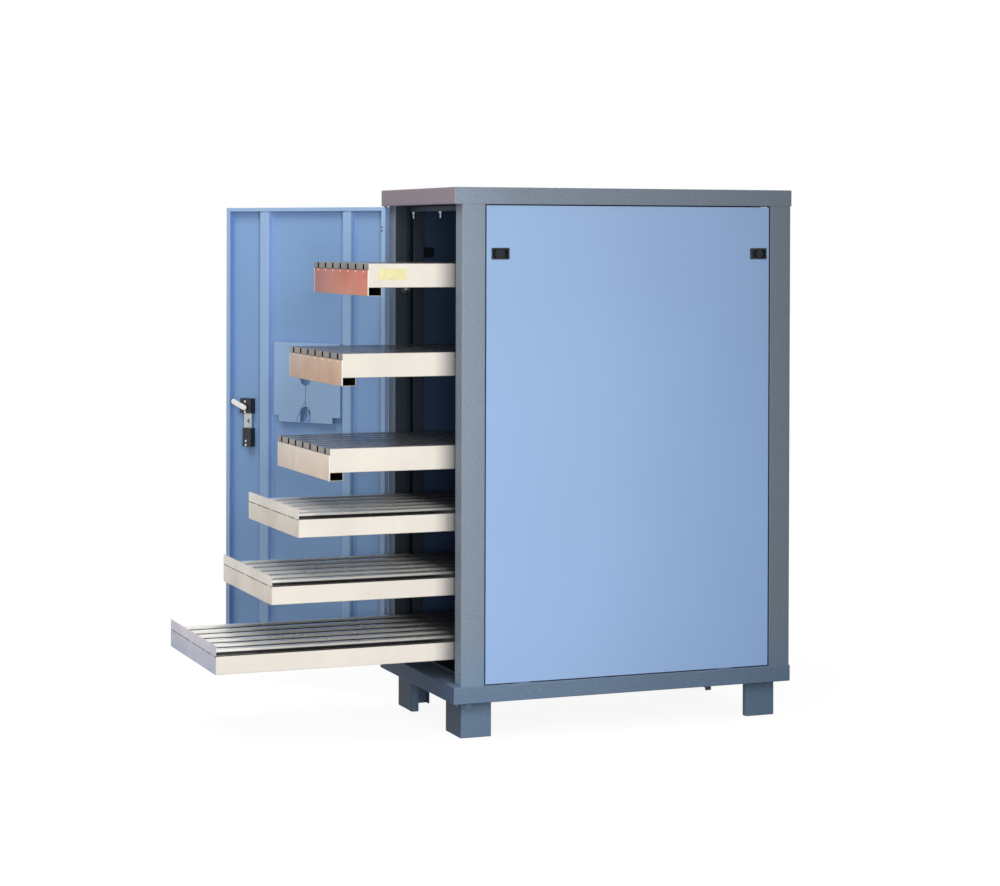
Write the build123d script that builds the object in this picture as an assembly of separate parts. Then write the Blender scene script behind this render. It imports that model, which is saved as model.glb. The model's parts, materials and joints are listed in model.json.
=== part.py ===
from build123d import *
import os
from math import cos, radians

# Lengths in mm. X to the right, Y to the back, Z up, origin on the floor under the middle.

# sheets and folds
frame_sheet = 2
frame_bend = 3
panel_sheet = 1.5
panel_bend = 3
tray_sheet = 1.5
tray_bend = 2.5
foot_sheet = 3
foot_bend = 5
tab_sheet = 4

# trays, the top one first where there are six values
tray_half = 237.5
tray_length = 905
tray_travel = 720
travel_left = (474.8, 404, 369.8, 286.6, 214.8, 66.4)
tray_flange = 25.5
lowest_tray = 63
tray_rises = (171.6, 170.9, 165.5, 247.5, 235.5)
above_trays = 157.8
member_deep = 25
last_member = 45
upper_side = 63.2
deck_edge = 17
deck_bend = 2
front_drop = 21.5
grip_deep = 42
grip_inset = 11
grip_lap = 3
slot_pitch = 66.5
slot_wide = 14
slot_margin = 15
lower_side = 48.7
lip_up = 25.5
lip_setback = 0.5
seam_gap = 0.8
ridge_pitch = 75
ridge_half = 21
ridge_height = 10
ridge_bend = 4
ridge_margin = 15

# cap, base and posts round the trays
tray_post_gap = 10.5
tray_front_gap = 4
tray_back_gap = 66
foot_height = 100
rim_height = 45
rim_round = 2.5
side_flange_past = 8
end_flange_past = 4
base_bottom_flange = 112
post_outset = 2
post_width = 50
front_post_depth = 66
rear_post_depth = 63
rear_recess = 3
post_return = 38
post_lip = 22
small_slot_in = 13
small_slot_wide = 6
small_slot_tall = 16
small_slot_up = 80

# feet
foot_inset = 47
foot_setback_front = 38
foot_setback_rear = 25
foot_wide = 118
foot_long = 88
foot_lip = 20
tab_length = 40
tab_drop = 30
foot_bolt = 8
foot_bolt_play = 0.6
foot_bolt_head = 13
foot_bolt_head_thick = 1.5
foot_nut = 13
foot_nut_thick = 6.5
foot_bolt_end = 2.5
foot_bolt_side = 22
foot_bolt_front = 28

# side panels
panel_gap = 3
panel_outset = 3
panel_post_gap = 2
panel_upright_gap = 3
locator_wide = 24
locator_thick = 2
locator_deep = 9
locator_gap = 0.5
locator_inset = 7.5
locator_foot = 6
locator_foot_past = 8
locator_y = 300

# rear panel
rear_panel_gap = 4
rear_screw = 5
rear_screw_play = 0.4
rear_screw_head = 10
rear_screw_end = 40
rear_screw_count = 5
rear_nut = 8
rear_nut_thick = 4
rear_hat = (70, 85, 115, 130)
rear_hat_deep = 14
rear_hat_end = 20
rear_hat_bend = 2.5

# latches
latch_from_top = 176
latch_inset_front = 40.5
latch_inset_rear = 34.5
latch_long = 51
latch_tall = 31
latch_corner = 3
latch_rim = 2
latch_face = 1.5
latch_deep = 16
latch_wall = 2
latch_gap = 0.25
tongue_thick = 2.5
tongue_wide = 16
tongue_reach = 6
latch_knob = 20
latch_knob_sunk = 2
latch_knob_round = 1.5
latch_travel = 10

# top front rail
rail_post_gap = 3
rail_deep = 14
rail_tall = 16.5
rail_end_gap = 1
hang_bolt = 6
hang_bolt_play = 0.4
hang_bolt_pitch = 222
hang_bolt_drop = 18.5
hang_head = 9.6
hang_head_thick = 4
hang_nut = 10
hang_nut_thick = 5

# floor panel
floor_upright_gap = 3
floor_post_gap = 4
floor_fold = 12
floor_rib_pitch = 150
floor_rib_half = 25
floor_rib_height = 8
floor_rib_margin = 40

# rollers
roller_diameter = 28
roller_wide = 8
roller_round = 1
axle_diameter = 6
axle_play = 0.2
bore_play = 0.05
roll_gap = 0.05
roller_side_gap = 0.5
front_roller_edge = 1
front_axle_edge = 10
rear_roller_stand = 4.5
rear_roller_up = 20
rear_roller_from_back = 20
axle_head = 12
axle_head_thick = 2.5
axle_head_play = 0.25
axle_end = 1
axle_nut = 10
front_nut_thick = 5
rear_axle_nut_thick = 4
axle_disc = 2
spacer_diameter = 10

# runners
runner_gap = 2.5
runner_tip_gap = 3.5
runner_bend = 2.5
runner_post_gap = 4
runner_past_stop = 6
upright_from_end = 36
upright_deep = 16
upright_wide = 32
rail_play = 0.3
stop_gap = 0.5
stop_thick = 4.5
stop_inset = 4
stop_sink = 0.5

# door
door_gap = 2
door_thick = 20
door_round = 2
door_edge_gap = 2
door_side_gap = 5.5
door_lip = 14
door_end_lip = 11
door_open = 145.5
pivot_edge = 6
pin = 7
pin_long = 25
pin_disc = 10
pin_disc_gap = 0.3
pivot_bar_wide = 14
pivot_bar_long = 80
pivot_screw = 5
pivot_screw_thick = 0.3
pivot_screw_in = 11
pivot_screws_down = (58, 68)
hat_top = 7.5
hat_bend = 2
hat_from_edge = (171.5, 160, 126.5, 112)
hat_from_hinge = (107.5, 119, 150, 155.5)

# document holder
holder_hinge_gap = 1
holder_edge_gap = 10
holder_bottom = 688.5
holder_height = 233.5
holder_face = 8
holder_notch_wide = (28, 18)
holder_notch_tall = 18
holder_hole_shift = 4
holder_hole_up = 128
holder_hole_radius = 19.5
holder_arch_shift = 4
holder_arch_radius = 19
holder_arch_up = 47
holder_slit = 1.6
wire_radius = 1
wire_points = ((4, 64), (17, 46), (37, 7))

# lock, its pieces measured from the pivot
lock_from_edge = 76.5
lock_height = 724
lock_case_top = (-21, 20.3)
lock_case_low = (-21, 10.4)
lock_plate_wide = (-16, 13.1)
lock_levels = (-116, -61, -17, 27)
lock_plate_deep = 10.5
lock_eye = (-4.3, -40)
lock_eye_wide = 11
lock_screws = ((1.4, 18), (1.3, -13), (-2, -99.5), (-2, -111))
lock_screw_wide = 6
lock_screw_thick = 0.4
lock_corner = 2
spindle = 10
cam_wide = 16
cam_reach = 45
cam_thick = 3.5
cam_gap = 2.5
cam_play = 0.5
cam_boss = 9
cam_boss_up = 2
cam_turn = 22
keeper_low = 14
keeper_high = 58
handle_long = 100
handle_out = 32
handle_half = 9
handle_thick = 12
handle_past = 22
handle_round = 3.5
handle_neck = 18
rose_wide = 34
rose_thick = 6
rose_gap = 0.2

# derived across
post_in = tray_half + tray_post_gap
post_x = post_in + post_width
half_wide = post_x + post_outset
side_flange = post_outset + post_width + side_flange_past
grip_half = tray_half - grip_inset
front_roller_x = tray_half - front_roller_edge - roller_wide
roller_sink = roller_side_gap + axle_head_thick + axle_head_play
rear_roller_x = tray_half + rear_roller_stand
rail_x = tray_half + runner_gap
axle_tip = rear_roller_x + roller_wide + roller_side_gap + axle_disc
upright_x = axle_tip + runner_tip_gap + frame_sheet
panel_x = half_wide - panel_outset
panel_flange = panel_x - upright_x - upright_deep - panel_upright_gap
locator_x = panel_x - panel_sheet - locator_inset
tongue_out = panel_x - latch_deep + latch_wall + latch_gap
rail_half = post_x - frame_sheet - rail_end_gap
rear_panel_half = post_x - rear_panel_gap
rear_screw_x = post_in + post_width / 2
floor_half = upright_x - floor_upright_gap

# derived from front to back
door_recess = door_thick + door_gap
depth = door_recess + tray_front_gap + tray_length + tray_back_gap + rear_recess
half_deep = depth / 2
end_flange = door_recess + front_post_depth + end_flange_past
post_front = -half_deep + door_recess
post_wall_end = post_front + post_return
front_post_back = post_front + front_post_depth
post_rear = half_deep - rear_recess
rear_post_front = post_rear - rear_post_depth
panel_front = front_post_back + panel_post_gap
panel_rear = rear_post_front - panel_post_gap
tray_closed_front = post_front + tray_front_gap
front_roller_y = post_wall_end - front_axle_edge
rail_front = post_wall_end + rail_post_gap
rail_bolt_y = rail_front + (rail_deep + frame_sheet) / 2
floor_end = -post_wall_end - floor_post_gap
roller_r = roller_diameter / 2
closed_roller_y = tray_closed_front + tray_length - rear_roller_from_back
back_stop = closed_roller_y + roller_r + stop_gap
front_stop = closed_roller_y - tray_travel - roller_r - stop_gap
runner_front = post_wall_end + runner_post_gap
runner_back = back_stop + stop_thick + runner_past_stop
tray_members = (0, (tray_length - last_member) / 2, tray_length - last_member)

# derived upwards
body_height = 2 * rim_height + lowest_tray + sum(tray_rises) + upper_side + above_trays
base_bottom = foot_height
base_top = base_bottom + rim_height
cap_bottom = base_bottom + body_height - rim_height
total_height = base_bottom + body_height
panel_low = base_top + panel_gap
panel_high = cap_bottom - panel_gap
latch_z = total_height - latch_from_top
foot_bolt_z = base_bottom - tab_drop / 2

# derived on the door
hinge_x = pivot_edge - post_x
hinge_y = -half_deep + door_thick / 2
door_width = post_x - door_side_gap - hinge_x
door_low = base_top + door_edge_gap
door_high = cap_bottom - door_edge_gap
skin = -door_thick / 2 + panel_sheet
hat_one = [door_width - length for length in hat_from_edge]
holder_left = hat_from_hinge[3] + holder_hinge_gap
holder_right = hat_one[0] - holder_edge_gap
holder_middle = (holder_left + holder_right) / 2
holder_low = base_bottom + holder_bottom
lock_u = door_width - lock_from_edge
lock_z = base_bottom + lock_height
cam_face = post_front + frame_sheet + cam_play - hinge_y
lock_face = cam_face - cam_gap


def block(x0, x1, y0, y1, z0, z1):
    """Box between two corners."""
    middle = ((x0 + x1) / 2, (y0 + y1) / 2, (z0 + z1) / 2)
    return Pos(*middle) * Box(abs(x1 - x0), abs(y1 - y0), abs(z1 - z0))


def fold(points, sheet, bend):
    """Section of folded sheet on the left of a line of points."""
    line = FilletPolyline(*points, radius=bend)
    ring = offset(line, sheet, side=Side.LEFT)
    return make_face(ring.edges())


def up(section, z0, z1):
    """Section in X and Y made tall from z0 to z1."""
    return extrude(Pos(0, 0, z0) * section, z1 - z0)


def across(section, x0, x1):
    """Section in Y and Z made long in X."""
    place = Plane(origin=(x0, 0, 0), x_dir=(0, 1, 0), z_dir=(1, 0, 0))
    return extrude(place * section, x1 - x0)


def along(section, y0, y1):
    """Section in X and Z made long in Y."""
    place = Plane(origin=(0, y1, 0), x_dir=(1, 0, 0), z_dir=(0, -1, 0))
    return extrude(place * section, y1 - y0)


def rod_x(diameter, x0, x1, y, z):
    """Round bar along X."""
    return Pos((x0 + x1) / 2, y, z) * Rot(0, 90, 0) * Cylinder(diameter / 2, abs(x1 - x0))


def rod_y(diameter, x, y0, y1, z):
    """Round bar along Y."""
    return Pos(x, (y0 + y1) / 2, z) * Rot(90, 0, 0) * Cylinder(diameter / 2, abs(y1 - y0))


def rod_z(diameter, x, y, z0, z1):
    """Round bar along Z."""
    return Pos(x, y, (z0 + z1) / 2) * Cylinder(diameter / 2, abs(z1 - z0))


def hexagon(across_flats, thick):
    """Bolt head or nut, its flats facing along Y, centred on its axis Z."""
    corner = across_flats / 2 / cos(radians(30))
    return extrude(RegularPolygon(corner, 6), thick / 2, both=True)


def hex_x(across_flats, x0, x1, y, z):
    """Bolt head or nut along X."""
    return Pos((x0 + x1) / 2, y, z) * Rot(0, 90, 0) * hexagon(across_flats, abs(x1 - x0))


def hex_y(across_flats, x, y0, y1, z):
    """Bolt head or nut along Y."""
    return Pos(x, (y0 + y1) / 2, z) * Rot(90, 0, 0) * hexagon(across_flats, abs(y1 - y0))


def hex_z(across_flats, x, y, z0, z1):
    """Bolt head or nut along Z."""
    return Pos(x, y, (z0 + z1) / 2) * hexagon(across_flats, abs(z1 - z0))


def both_sides(shape):
    """The right hand shape and its left hand twin."""
    return [shape, mirror(shape, about=Plane.YZ)]


def at_corners(shape):
    """Four copies of a thing made for the right front corner."""
    shift = Pos(0, foot_setback_front - foot_setback_rear, 0)
    rear = shift * mirror(shape, about=Plane.XZ)
    return both_sides(shape) + both_sides(rear)


# cap and base

def rim(z0, z1):
    """Solid rim with rounded folded edges."""
    body = block(-half_wide, half_wide, -half_deep, half_deep, z0, z1)
    return fillet(body.edges(), rim_round)


def rim_hollow(z0, z1):
    """Inside of a rim."""
    x = half_wide - frame_sheet
    y = half_deep - frame_sheet
    return block(-x, x, -y, y, z0 + frame_sheet, z1 - frame_sheet)


def rim_opening(x_flange, y_flange, z):
    """Opening left by a flange turned inwards."""
    x = half_wide - x_flange
    y = half_deep - y_flange
    return block(-x, x, -y, y, z - 2 * frame_sheet, z + 2 * frame_sheet)


def top_cap():
    body = rim(cap_bottom, total_height)
    body -= rim_hollow(cap_bottom, total_height)
    return body - rim_opening(side_flange, end_flange, cap_bottom)


def locator_slots():
    """Slots in the base for the tongues under the side panels."""
    half = locator_wide / 2 + locator_gap
    thick = locator_thick / 2 + locator_gap
    slots = []
    for y in (-locator_y, locator_y):
        slots += both_sides(block(locator_x - thick, locator_x + thick, y - half, y + half,
                                  base_top - 2 * frame_sheet, base_top + frame_sheet))
    return slots


def base_frame():
    body = rim(base_bottom, base_top)
    body -= rim_hollow(base_bottom, base_top)
    body -= rim_opening(side_flange, end_flange, base_top)
    body -= rim_opening(base_bottom_flange, base_bottom_flange, base_bottom)
    return body - locator_slots()


def foot_tab():
    """Angle under the base that one foot is bolted to."""
    x = half_wide - foot_inset - foot_sheet
    y = -half_deep + foot_setback_front + foot_sheet
    points = [(x - tab_length, y), (x, y), (x, y + tab_length)]
    section = fold(points, tab_sheet, foot_bend)
    return up(section, base_bottom - tab_drop, base_bottom) - foot_bolt_holes()


def foot_bolt_axes():
    """Places of the two bolts of the right front foot."""
    x = half_wide - foot_inset
    y = -half_deep + foot_setback_front
    return x, y, foot_bolt_z, y + foot_bolt_side, x - foot_bolt_front


def foot_bolt_holes():
    x, y, z, y_side, x_front = foot_bolt_axes()
    reach = foot_sheet + tab_sheet + 1
    side = rod_x(foot_bolt + foot_bolt_play, x - reach, x + 1, y_side, z)
    front = rod_y(foot_bolt + foot_bolt_play, x_front, y - 1, y + reach, z)
    return side + front


# feet

def foot():
    x = half_wide - foot_inset
    y = -half_deep + foot_setback_front
    points = [
        (x - foot_wide, y + foot_lip),
        (x - foot_wide, y),
        (x, y),
        (x, y + foot_long),
        (x - foot_lip, y + foot_long),
    ]
    body = up(fold(points, foot_sheet, foot_bend), 0, foot_height)
    return body - foot_bolt_holes()


def foot_bolt_pair():
    x, y, z, y_side, x_front = foot_bolt_axes()
    grip = foot_sheet + tab_sheet
    nut = grip + foot_nut_thick
    side = rod_x(foot_bolt_head, x, x + foot_bolt_head_thick, y_side, z)
    side += rod_x(foot_bolt, x - nut - foot_bolt_end, x + 1, y_side, z)
    side += hex_x(foot_nut, x - nut, x - grip, y_side, z)
    front = rod_y(foot_bolt_head, x_front, y - foot_bolt_head_thick, y, z)
    front += rod_y(foot_bolt, x_front, y - 1, y + nut + foot_bolt_end, z)
    front += hex_y(foot_nut, x_front, y + grip, y + nut, z)
    return Compound(children=[side, front])


# posts

def tray_bottom(number):
    """Height of a tray's underside, the top tray being number 0."""
    return base_top + lowest_tray + sum(tray_rises[:5 - number])


def pulled(number):
    """How far a tray is drawn out in the rest pose."""
    return tray_travel - travel_left[number]


def axle_height(number):
    """Height of the front roller axles of one tray."""
    return tray_bottom(number) - roll_gap - roller_r


def axle_holes():
    """Holes for the front roller axles in one post."""
    holes = []
    for number in range(6):
        holes.append(rod_x(axle_diameter + axle_play, post_in - 1, post_in + 2 * frame_sheet,
                           front_roller_y, axle_height(number)))
    return holes


def lip_slot(y0, y1):
    """Slot for a latch tongue through the sheet between two Y values."""
    x0 = tongue_out - latch_gap
    x1 = tongue_out + tongue_thick + latch_gap
    half = tongue_wide / 2 + latch_gap
    return block(x0, x1, y0, y1, latch_z - half, latch_z + half)


def front_post():
    points = [
        (post_in, post_wall_end),
        (post_in, post_front),
        (post_x, post_front),
        (post_x, front_post_back),
        (post_x - post_lip, front_post_back),
    ]
    body = up(fold(points, frame_sheet, frame_bend), base_top, cap_bottom)
    body -= axle_holes()
    return body - lip_slot(front_post_back - 2 * frame_sheet, front_post_back + 1)


def keeper_slot():
    """Slot in the right post's inner wall that the lock cam swings through."""
    y = hinge_y + cam_face
    return block(post_in - 1, post_in + 2 * frame_sheet, y - cam_play, y + cam_thick + cam_play,
                 lock_z - keeper_low, lock_z + keeper_high)


def small_slot():
    """Upright slot low on the right post's face."""
    x = post_in + small_slot_in
    z = base_bottom + small_slot_up
    return block(x, x + small_slot_wide, post_front - 1, post_front + 2 * frame_sheet,
                 z, z + small_slot_tall)


def rear_post():
    points = [
        (post_x - post_lip, rear_post_front),
        (post_x, rear_post_front),
        (post_x, post_rear),
        (post_in, post_rear),
        (post_in, post_rear - post_return),
    ]
    body = up(fold(points, frame_sheet, frame_bend), base_top, cap_bottom)
    body -= lip_slot(rear_post_front - 1, rear_post_front + 2 * frame_sheet)
    for z in rear_screw_heights():
        body -= rear_screw_hole(z)
    return body


# rear panel

def rear_screw_heights():
    low = panel_low + rear_screw_end
    step = (panel_high - rear_screw_end - low) / (rear_screw_count - 1)
    return [low + step * n for n in range(rear_screw_count)]


def rear_screw_hole(z):
    return rod_y(rear_screw + rear_screw_play, rear_screw_x,
                 post_rear - 2 * frame_sheet, post_rear + 2 * panel_sheet, z)


def rear_panel():
    body = block(-rear_panel_half, rear_panel_half, post_rear, post_rear + panel_sheet,
                 panel_low, panel_high)
    for z in rear_screw_heights():
        for hole in both_sides(rear_screw_hole(z)):
            body -= hole
    a, b, c, d = rear_hat
    top = post_rear - rear_hat_deep
    points = [(d, post_rear), (c, post_rear), (c, top), (b, top), (b, post_rear), (a, post_rear)]
    hat = up(fold(points, panel_sheet, rear_hat_bend),
             panel_low + rear_hat_end, panel_high - rear_hat_end)
    return Compound(children=[body] + both_sides(hat))


def rear_panel_screws():
    screws = []
    inner = post_rear - frame_sheet
    for z in rear_screw_heights():
        x = rear_screw_x
        one = rod_y(rear_screw_head, x, post_rear + panel_sheet, half_deep - 0.1, z)
        one += rod_y(rear_screw, x, inner - rear_nut_thick - 2, half_deep - 0.5, z)
        one += hex_y(rear_nut, x, inner - rear_nut_thick, inner, z)
        screws += both_sides(one)
    return Compound(children=screws)


# side panels and latches

def latch_places():
    front = (panel_front + latch_inset_front, -1)
    rear = (panel_rear - latch_inset_rear, 1)
    return [front, rear]


def side_panel():
    x_in = panel_x - panel_flange
    points = [(x_in, panel_front), (panel_x, panel_front),
              (panel_x, panel_rear), (x_in, panel_rear)]
    body = up(fold(points, panel_sheet, panel_bend), panel_low, panel_high)
    y0 = panel_front + panel_sheet
    y1 = panel_rear - panel_sheet
    x1 = panel_x - panel_sheet
    body += block(x_in, x1, y0, y1, panel_low, panel_low + panel_sheet)
    body += block(x_in, x1, y0, y1, panel_high - panel_sheet, panel_high)
    x = locator_x
    half = locator_wide / 2
    foot_half = half + locator_foot_past
    for y in (-locator_y, locator_y):
        body += block(x - locator_foot, x + locator_foot, y - foot_half, y + foot_half,
                      base_top, panel_low)
        body += block(x - locator_thick / 2, x + locator_thick / 2, y - half, y + half,
                      base_top - locator_deep, panel_low)
    for y, _ in latch_places():
        long = latch_long / 2 - latch_rim + latch_gap
        tall = latch_tall / 2 - latch_rim + latch_gap
        body -= block(panel_x - 2 * panel_sheet, panel_x + 1, y - long, y + long,
                      latch_z - tall, latch_z + tall)
    body -= lip_slot(panel_front - 1, panel_front + 2 * panel_sheet)
    return body - lip_slot(panel_rear - 2 * panel_sheet, panel_rear + 1)


def latch_housing(y, way):
    """Recessed black housing; way is the side of Y that the tongue leaves on."""
    z = latch_z
    long = latch_long / 2
    tall = latch_tall / 2
    back = panel_x - latch_deep
    body = block(panel_x, panel_x + latch_face, y - long, y + long, z - tall, z + tall)
    body = fillet(body.edges().filter_by(Axis.X), latch_corner)
    long -= latch_rim
    tall -= latch_rim
    body += block(back, panel_x, y - long, y + long, z - tall, z + tall)
    long -= latch_wall
    tall -= latch_wall
    body -= block(back + latch_wall, panel_x + 2, y - long, y + long, z - tall, z + tall)
    x1 = tongue_out + tongue_thick + latch_gap
    half = tongue_wide / 2 + latch_gap
    body -= block(back + latch_wall, x1, y, y + way * latch_long, z - half, z + half)
    return body


def latch_housings():
    housings = []
    for y, way in latch_places():
        housings += both_sides(latch_housing(y, way))
    return Compound(children=housings)


def latch_slider(y, way):
    """Round knob on a flat tongue, tongue through the lip of the post."""
    z = latch_z
    lip = front_post_back if way < 0 else rear_post_front
    tip = lip + way * (frame_sheet + tongue_reach)
    centre = y + way * latch_travel / 2
    half = tongue_wide / 2
    back = centre - way * latch_knob / 2
    body = block(tongue_out, tongue_out + tongue_thick, back, tip, z - half, z + half)
    knob = rod_x(latch_knob, tongue_out + tongue_thick, panel_x - latch_knob_sunk, centre, z)
    return body + fillet(knob.edges().sort_by(Axis.X)[-1], latch_knob_round)


# top front rail

def top_front_rail():
    low = cap_bottom - rail_tall
    back = rail_front + rail_deep
    points = [(back, cap_bottom), (rail_front, cap_bottom), (rail_front, low), (back, low)]
    body = across(fold(points, frame_sheet, frame_bend), -rail_half, rail_half)
    for x in (-hang_bolt_pitch, 0, hang_bolt_pitch):
        body -= rod_z(hang_bolt + hang_bolt_play, x, rail_bolt_y, low - 1, low + 2 * frame_sheet)
    return body


def rail_bolts():
    low = cap_bottom - rail_tall
    bolts = []
    for x in (-hang_bolt_pitch, 0, hang_bolt_pitch):
        y = rail_bolt_y
        head = low + frame_sheet
        one = hex_z(hang_head, x, y, head, head + hang_head_thick)
        one += rod_z(hang_bolt, x, y, low - hang_bolt_drop, head + hang_head_thick / 4)
        bolts.append(one + hex_z(hang_nut, x, y, low - hang_nut_thick, low))
    return Compound(children=bolts)


# floor panel

def centred(pitch, room):
    """Places of as many copies as fit in a room, the same on both sides of the middle."""
    count = int(room / pitch) + 1
    return [(n - (count - 1) / 2) * pitch for n in range(count)]


def floor_panel():
    z = base_top
    points = [(-floor_end, z + floor_fold), (-floor_end, z)]
    for y in centred(floor_rib_pitch, 2 * (floor_end - floor_rib_half - floor_rib_margin)):
        points += [(y - floor_rib_half, z),
                   (y - floor_rib_half + floor_rib_height, z + floor_rib_height),
                   (y + floor_rib_half - floor_rib_height, z + floor_rib_height),
                   (y + floor_rib_half, z)]
    points += [(floor_end, z), (floor_end, z + floor_fold)]
    return across(fold(points, panel_sheet, panel_bend), -floor_half, floor_half)


# runners

def upright(y):
    x1 = upright_x + upright_deep
    half = upright_wide / 2
    points = [(x1, y + half), (upright_x, y + half), (upright_x, y - half), (x1, y - half)]
    return up(fold(points, frame_sheet, frame_bend), base_top, cap_bottom)


def runner_uprights():
    front = upright(runner_front + upright_from_end)
    rear = upright(runner_back - upright_from_end)
    return Compound(children=both_sides(front) + both_sides(rear))


def runner_rail(number):
    """Right hand rail of one tray with a stop at each end of the travel."""
    z = tray_bottom(number) + rear_roller_up
    half = roller_r + rail_play + frame_sheet
    points = [(rail_x, z - half), (upright_x, z - half),
              (upright_x, z + half), (rail_x, z + half)]
    body = along(fold(points, frame_sheet, runner_bend), runner_front, runner_back)
    in_half = half - frame_sheet + stop_sink
    x0 = rail_x + stop_inset
    x1 = upright_x - frame_sheet + stop_sink
    body += block(x0, x1, back_stop, back_stop + stop_thick, z - in_half, z + in_half)
    body += block(x0, x1, front_stop - stop_thick, front_stop, z - in_half, z + in_half)
    return body


def runner_rails():
    rails = []
    for number in range(6):
        rails += both_sides(runner_rail(number))
    return Compound(children=rails)


def front_axle(number):
    """Axle bolt of the right front roller with its spacer and nut."""
    z = axle_height(number)
    y = front_roller_y
    head = front_roller_x + roller_side_gap
    roller_out = front_roller_x + roller_wide
    body = rod_x(axle_head, head, head + axle_head_thick, y, z)
    nut = post_in + frame_sheet
    body += rod_x(axle_diameter, head + 1, nut + front_nut_thick + axle_end, y, z)
    body += rod_x(spacer_diameter, roller_out + roller_side_gap, post_in, y, z)
    return body + hex_x(axle_nut, nut, nut + front_nut_thick, y, z)


def front_roller_axles():
    axles = []
    for number in range(6):
        axles += both_sides(front_axle(number))
    return Compound(children=axles)


def wheel(x0, y, z):
    """Plain roller with rounded rims."""
    body = rod_x(roller_diameter, x0, x0 + roller_wide, y, z)
    body = fillet(body.edges(), roller_round)
    return body - rod_x(axle_diameter + 2 * bore_play, x0 - 1, x0 + roller_wide + 1, y, z)


def front_rollers(number):
    z = axle_height(number)
    body = wheel(front_roller_x, front_roller_y, z)
    body -= rod_x(axle_head + 2, front_roller_x - 1, front_roller_x + roller_sink,
                  front_roller_y, z)
    return Compound(children=both_sides(body))


def rear_roller_place(number):
    return closed_roller_y - pulled(number), tray_bottom(number) + rear_roller_up


def rear_rollers(number):
    y, z = rear_roller_place(number)
    return Compound(children=both_sides(wheel(rear_roller_x, y, z)))


# trays

def rear_axle(number):
    """Axle on the right tray side, with nut, spacer and end disc."""
    y, z = rear_roller_place(number)
    inner = tray_half - tray_sheet
    out = rear_roller_x + roller_wide + roller_side_gap
    nut = inner - rear_axle_nut_thick
    body = rod_x(axle_diameter, nut - axle_end, out + axle_disc / 2, y, z)
    body += hex_x(axle_nut, nut, inner, y, z)
    body += rod_x(spacer_diameter, tray_half, rear_roller_x - roller_side_gap, y, z)
    return body + rod_x(spacer_diameter, out, axle_tip, y, z)


def tray_side(number, height, front, back):
    """Right side of a tray, a web with a flange turned in at the bottom."""
    z = tray_bottom(number)
    points = [(tray_half - tray_flange, z), (tray_half, z), (tray_half, z + height)]
    body = along(fold(points, tray_sheet, tray_bend), front, back)
    y, axle_z = rear_roller_place(number)
    return body - rod_x(axle_diameter + axle_play, tray_half - 2 * tray_sheet, tray_half + 1,
                        y, axle_z)


def tray_member(y, low, high):
    """Cross member between the tray sides, a channel open to the back."""
    points = [(y + member_deep, high), (y, high), (y, low), (y + member_deep, low)]
    half = tray_half - tray_sheet
    return across(fold(points, tray_sheet, tray_bend), -half, half)


def tray_frame(number, side, deck_under):
    """Sides, back wall, cross members and rear axles."""
    z = tray_bottom(number)
    front = tray_closed_front - pulled(number)
    back = front + tray_length
    start = front + tray_sheet
    inner = tray_half - tray_sheet
    solids = both_sides(tray_side(number, side, start, back))
    solids.append(block(-inner, inner, back - tray_sheet, back, z + tray_sheet, z + deck_under))
    for place in tray_members:
        solids.append(tray_member(start + place, z + tray_sheet, z + deck_under))
    solids += both_sides(rear_axle(number))
    return solids


def upper_frame(number):
    return Compound(children=tray_frame(number, upper_side, upper_side - deck_edge))


def slot_sides():
    """Left and right side of every slot in an upper deck."""
    room = 2 * (tray_half - tray_sheet - slot_margin) - slot_wide
    return [(x - slot_wide / 2, x + slot_wide / 2) for x in centred(slot_pitch, room)]


def deck_strip(front, low, top):
    """Sheet across the front of an upper deck, open where the slots are."""
    strip = block(-tray_half, tray_half, front, front + tray_sheet, low + seam_gap, top)
    for a, b in slot_sides():
        strip -= block(a, b, front - 1, front + 2 * tray_sheet, low + tray_sheet, top + 1)
    return strip


def upper_deck(number):
    """Folded deck with deep slots from front to back."""
    top = tray_bottom(number) + upper_side
    low = top - deck_edge
    half = tray_half - tray_sheet
    points = [(-half, low), (-half, top)]
    for a, b in slot_sides():
        points += [(a, top), (a, low + tray_sheet), (b, low + tray_sheet), (b, top)]
    points += [(half, top), (half, low)]
    line = FilletPolyline(*points, radius=deck_bend)
    section = make_face(offset(line, tray_sheet, side=Side.RIGHT).edges())
    front = tray_closed_front - pulled(number)
    deck = along(section, front + tray_sheet, front + tray_length - tray_sheet)
    return deck + deck_strip(front, low, top)


def upper_front(number):
    """Front plate with a grip hollow behind its lower edge."""
    z = tray_bottom(number)
    front = tray_closed_front - pulled(number)
    low = z - front_drop
    plate = block(-tray_half, tray_half, front, front + tray_sheet,
                  low, z + upper_side - deck_edge)
    back = front + grip_deep
    points = [(front, z - grip_lap), (front, low), (back, low), (back, z)]
    grip = across(fold(points, tray_sheet, tray_sheet), -grip_half, grip_half)
    return plate + grip


def lower_frame(number):
    under = lower_side - tray_sheet
    z = tray_bottom(number)
    front = tray_closed_front - pulled(number)
    solids = tray_frame(number, under, under)
    solids.append(block(-tray_half, tray_half, front, front + tray_sheet,
                        z, z + under - seam_gap))
    return Compound(children=solids)


def lower_deck(number):
    """Ridged sheet with its front edge folded up as a lip."""
    under = tray_bottom(number) + lower_side - tray_sheet
    points = [(-tray_half, under)]
    for x in centred(ridge_pitch, 2 * (tray_half - ridge_half - ridge_margin)):
        points += [(x - ridge_half, under),
                   (x - ridge_half + ridge_height, under + ridge_height),
                   (x + ridge_half - ridge_height, under + ridge_height),
                   (x + ridge_half, under)]
    points.append((tray_half, under))
    front = tray_closed_front - pulled(number)
    body = along(fold(points, tray_sheet, ridge_bend), front + lip_setback, front + tray_length)
    lip = block(-tray_half, tray_half, front, front + tray_sheet,
                under, under + tray_sheet + lip_up)
    return body + lip


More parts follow.
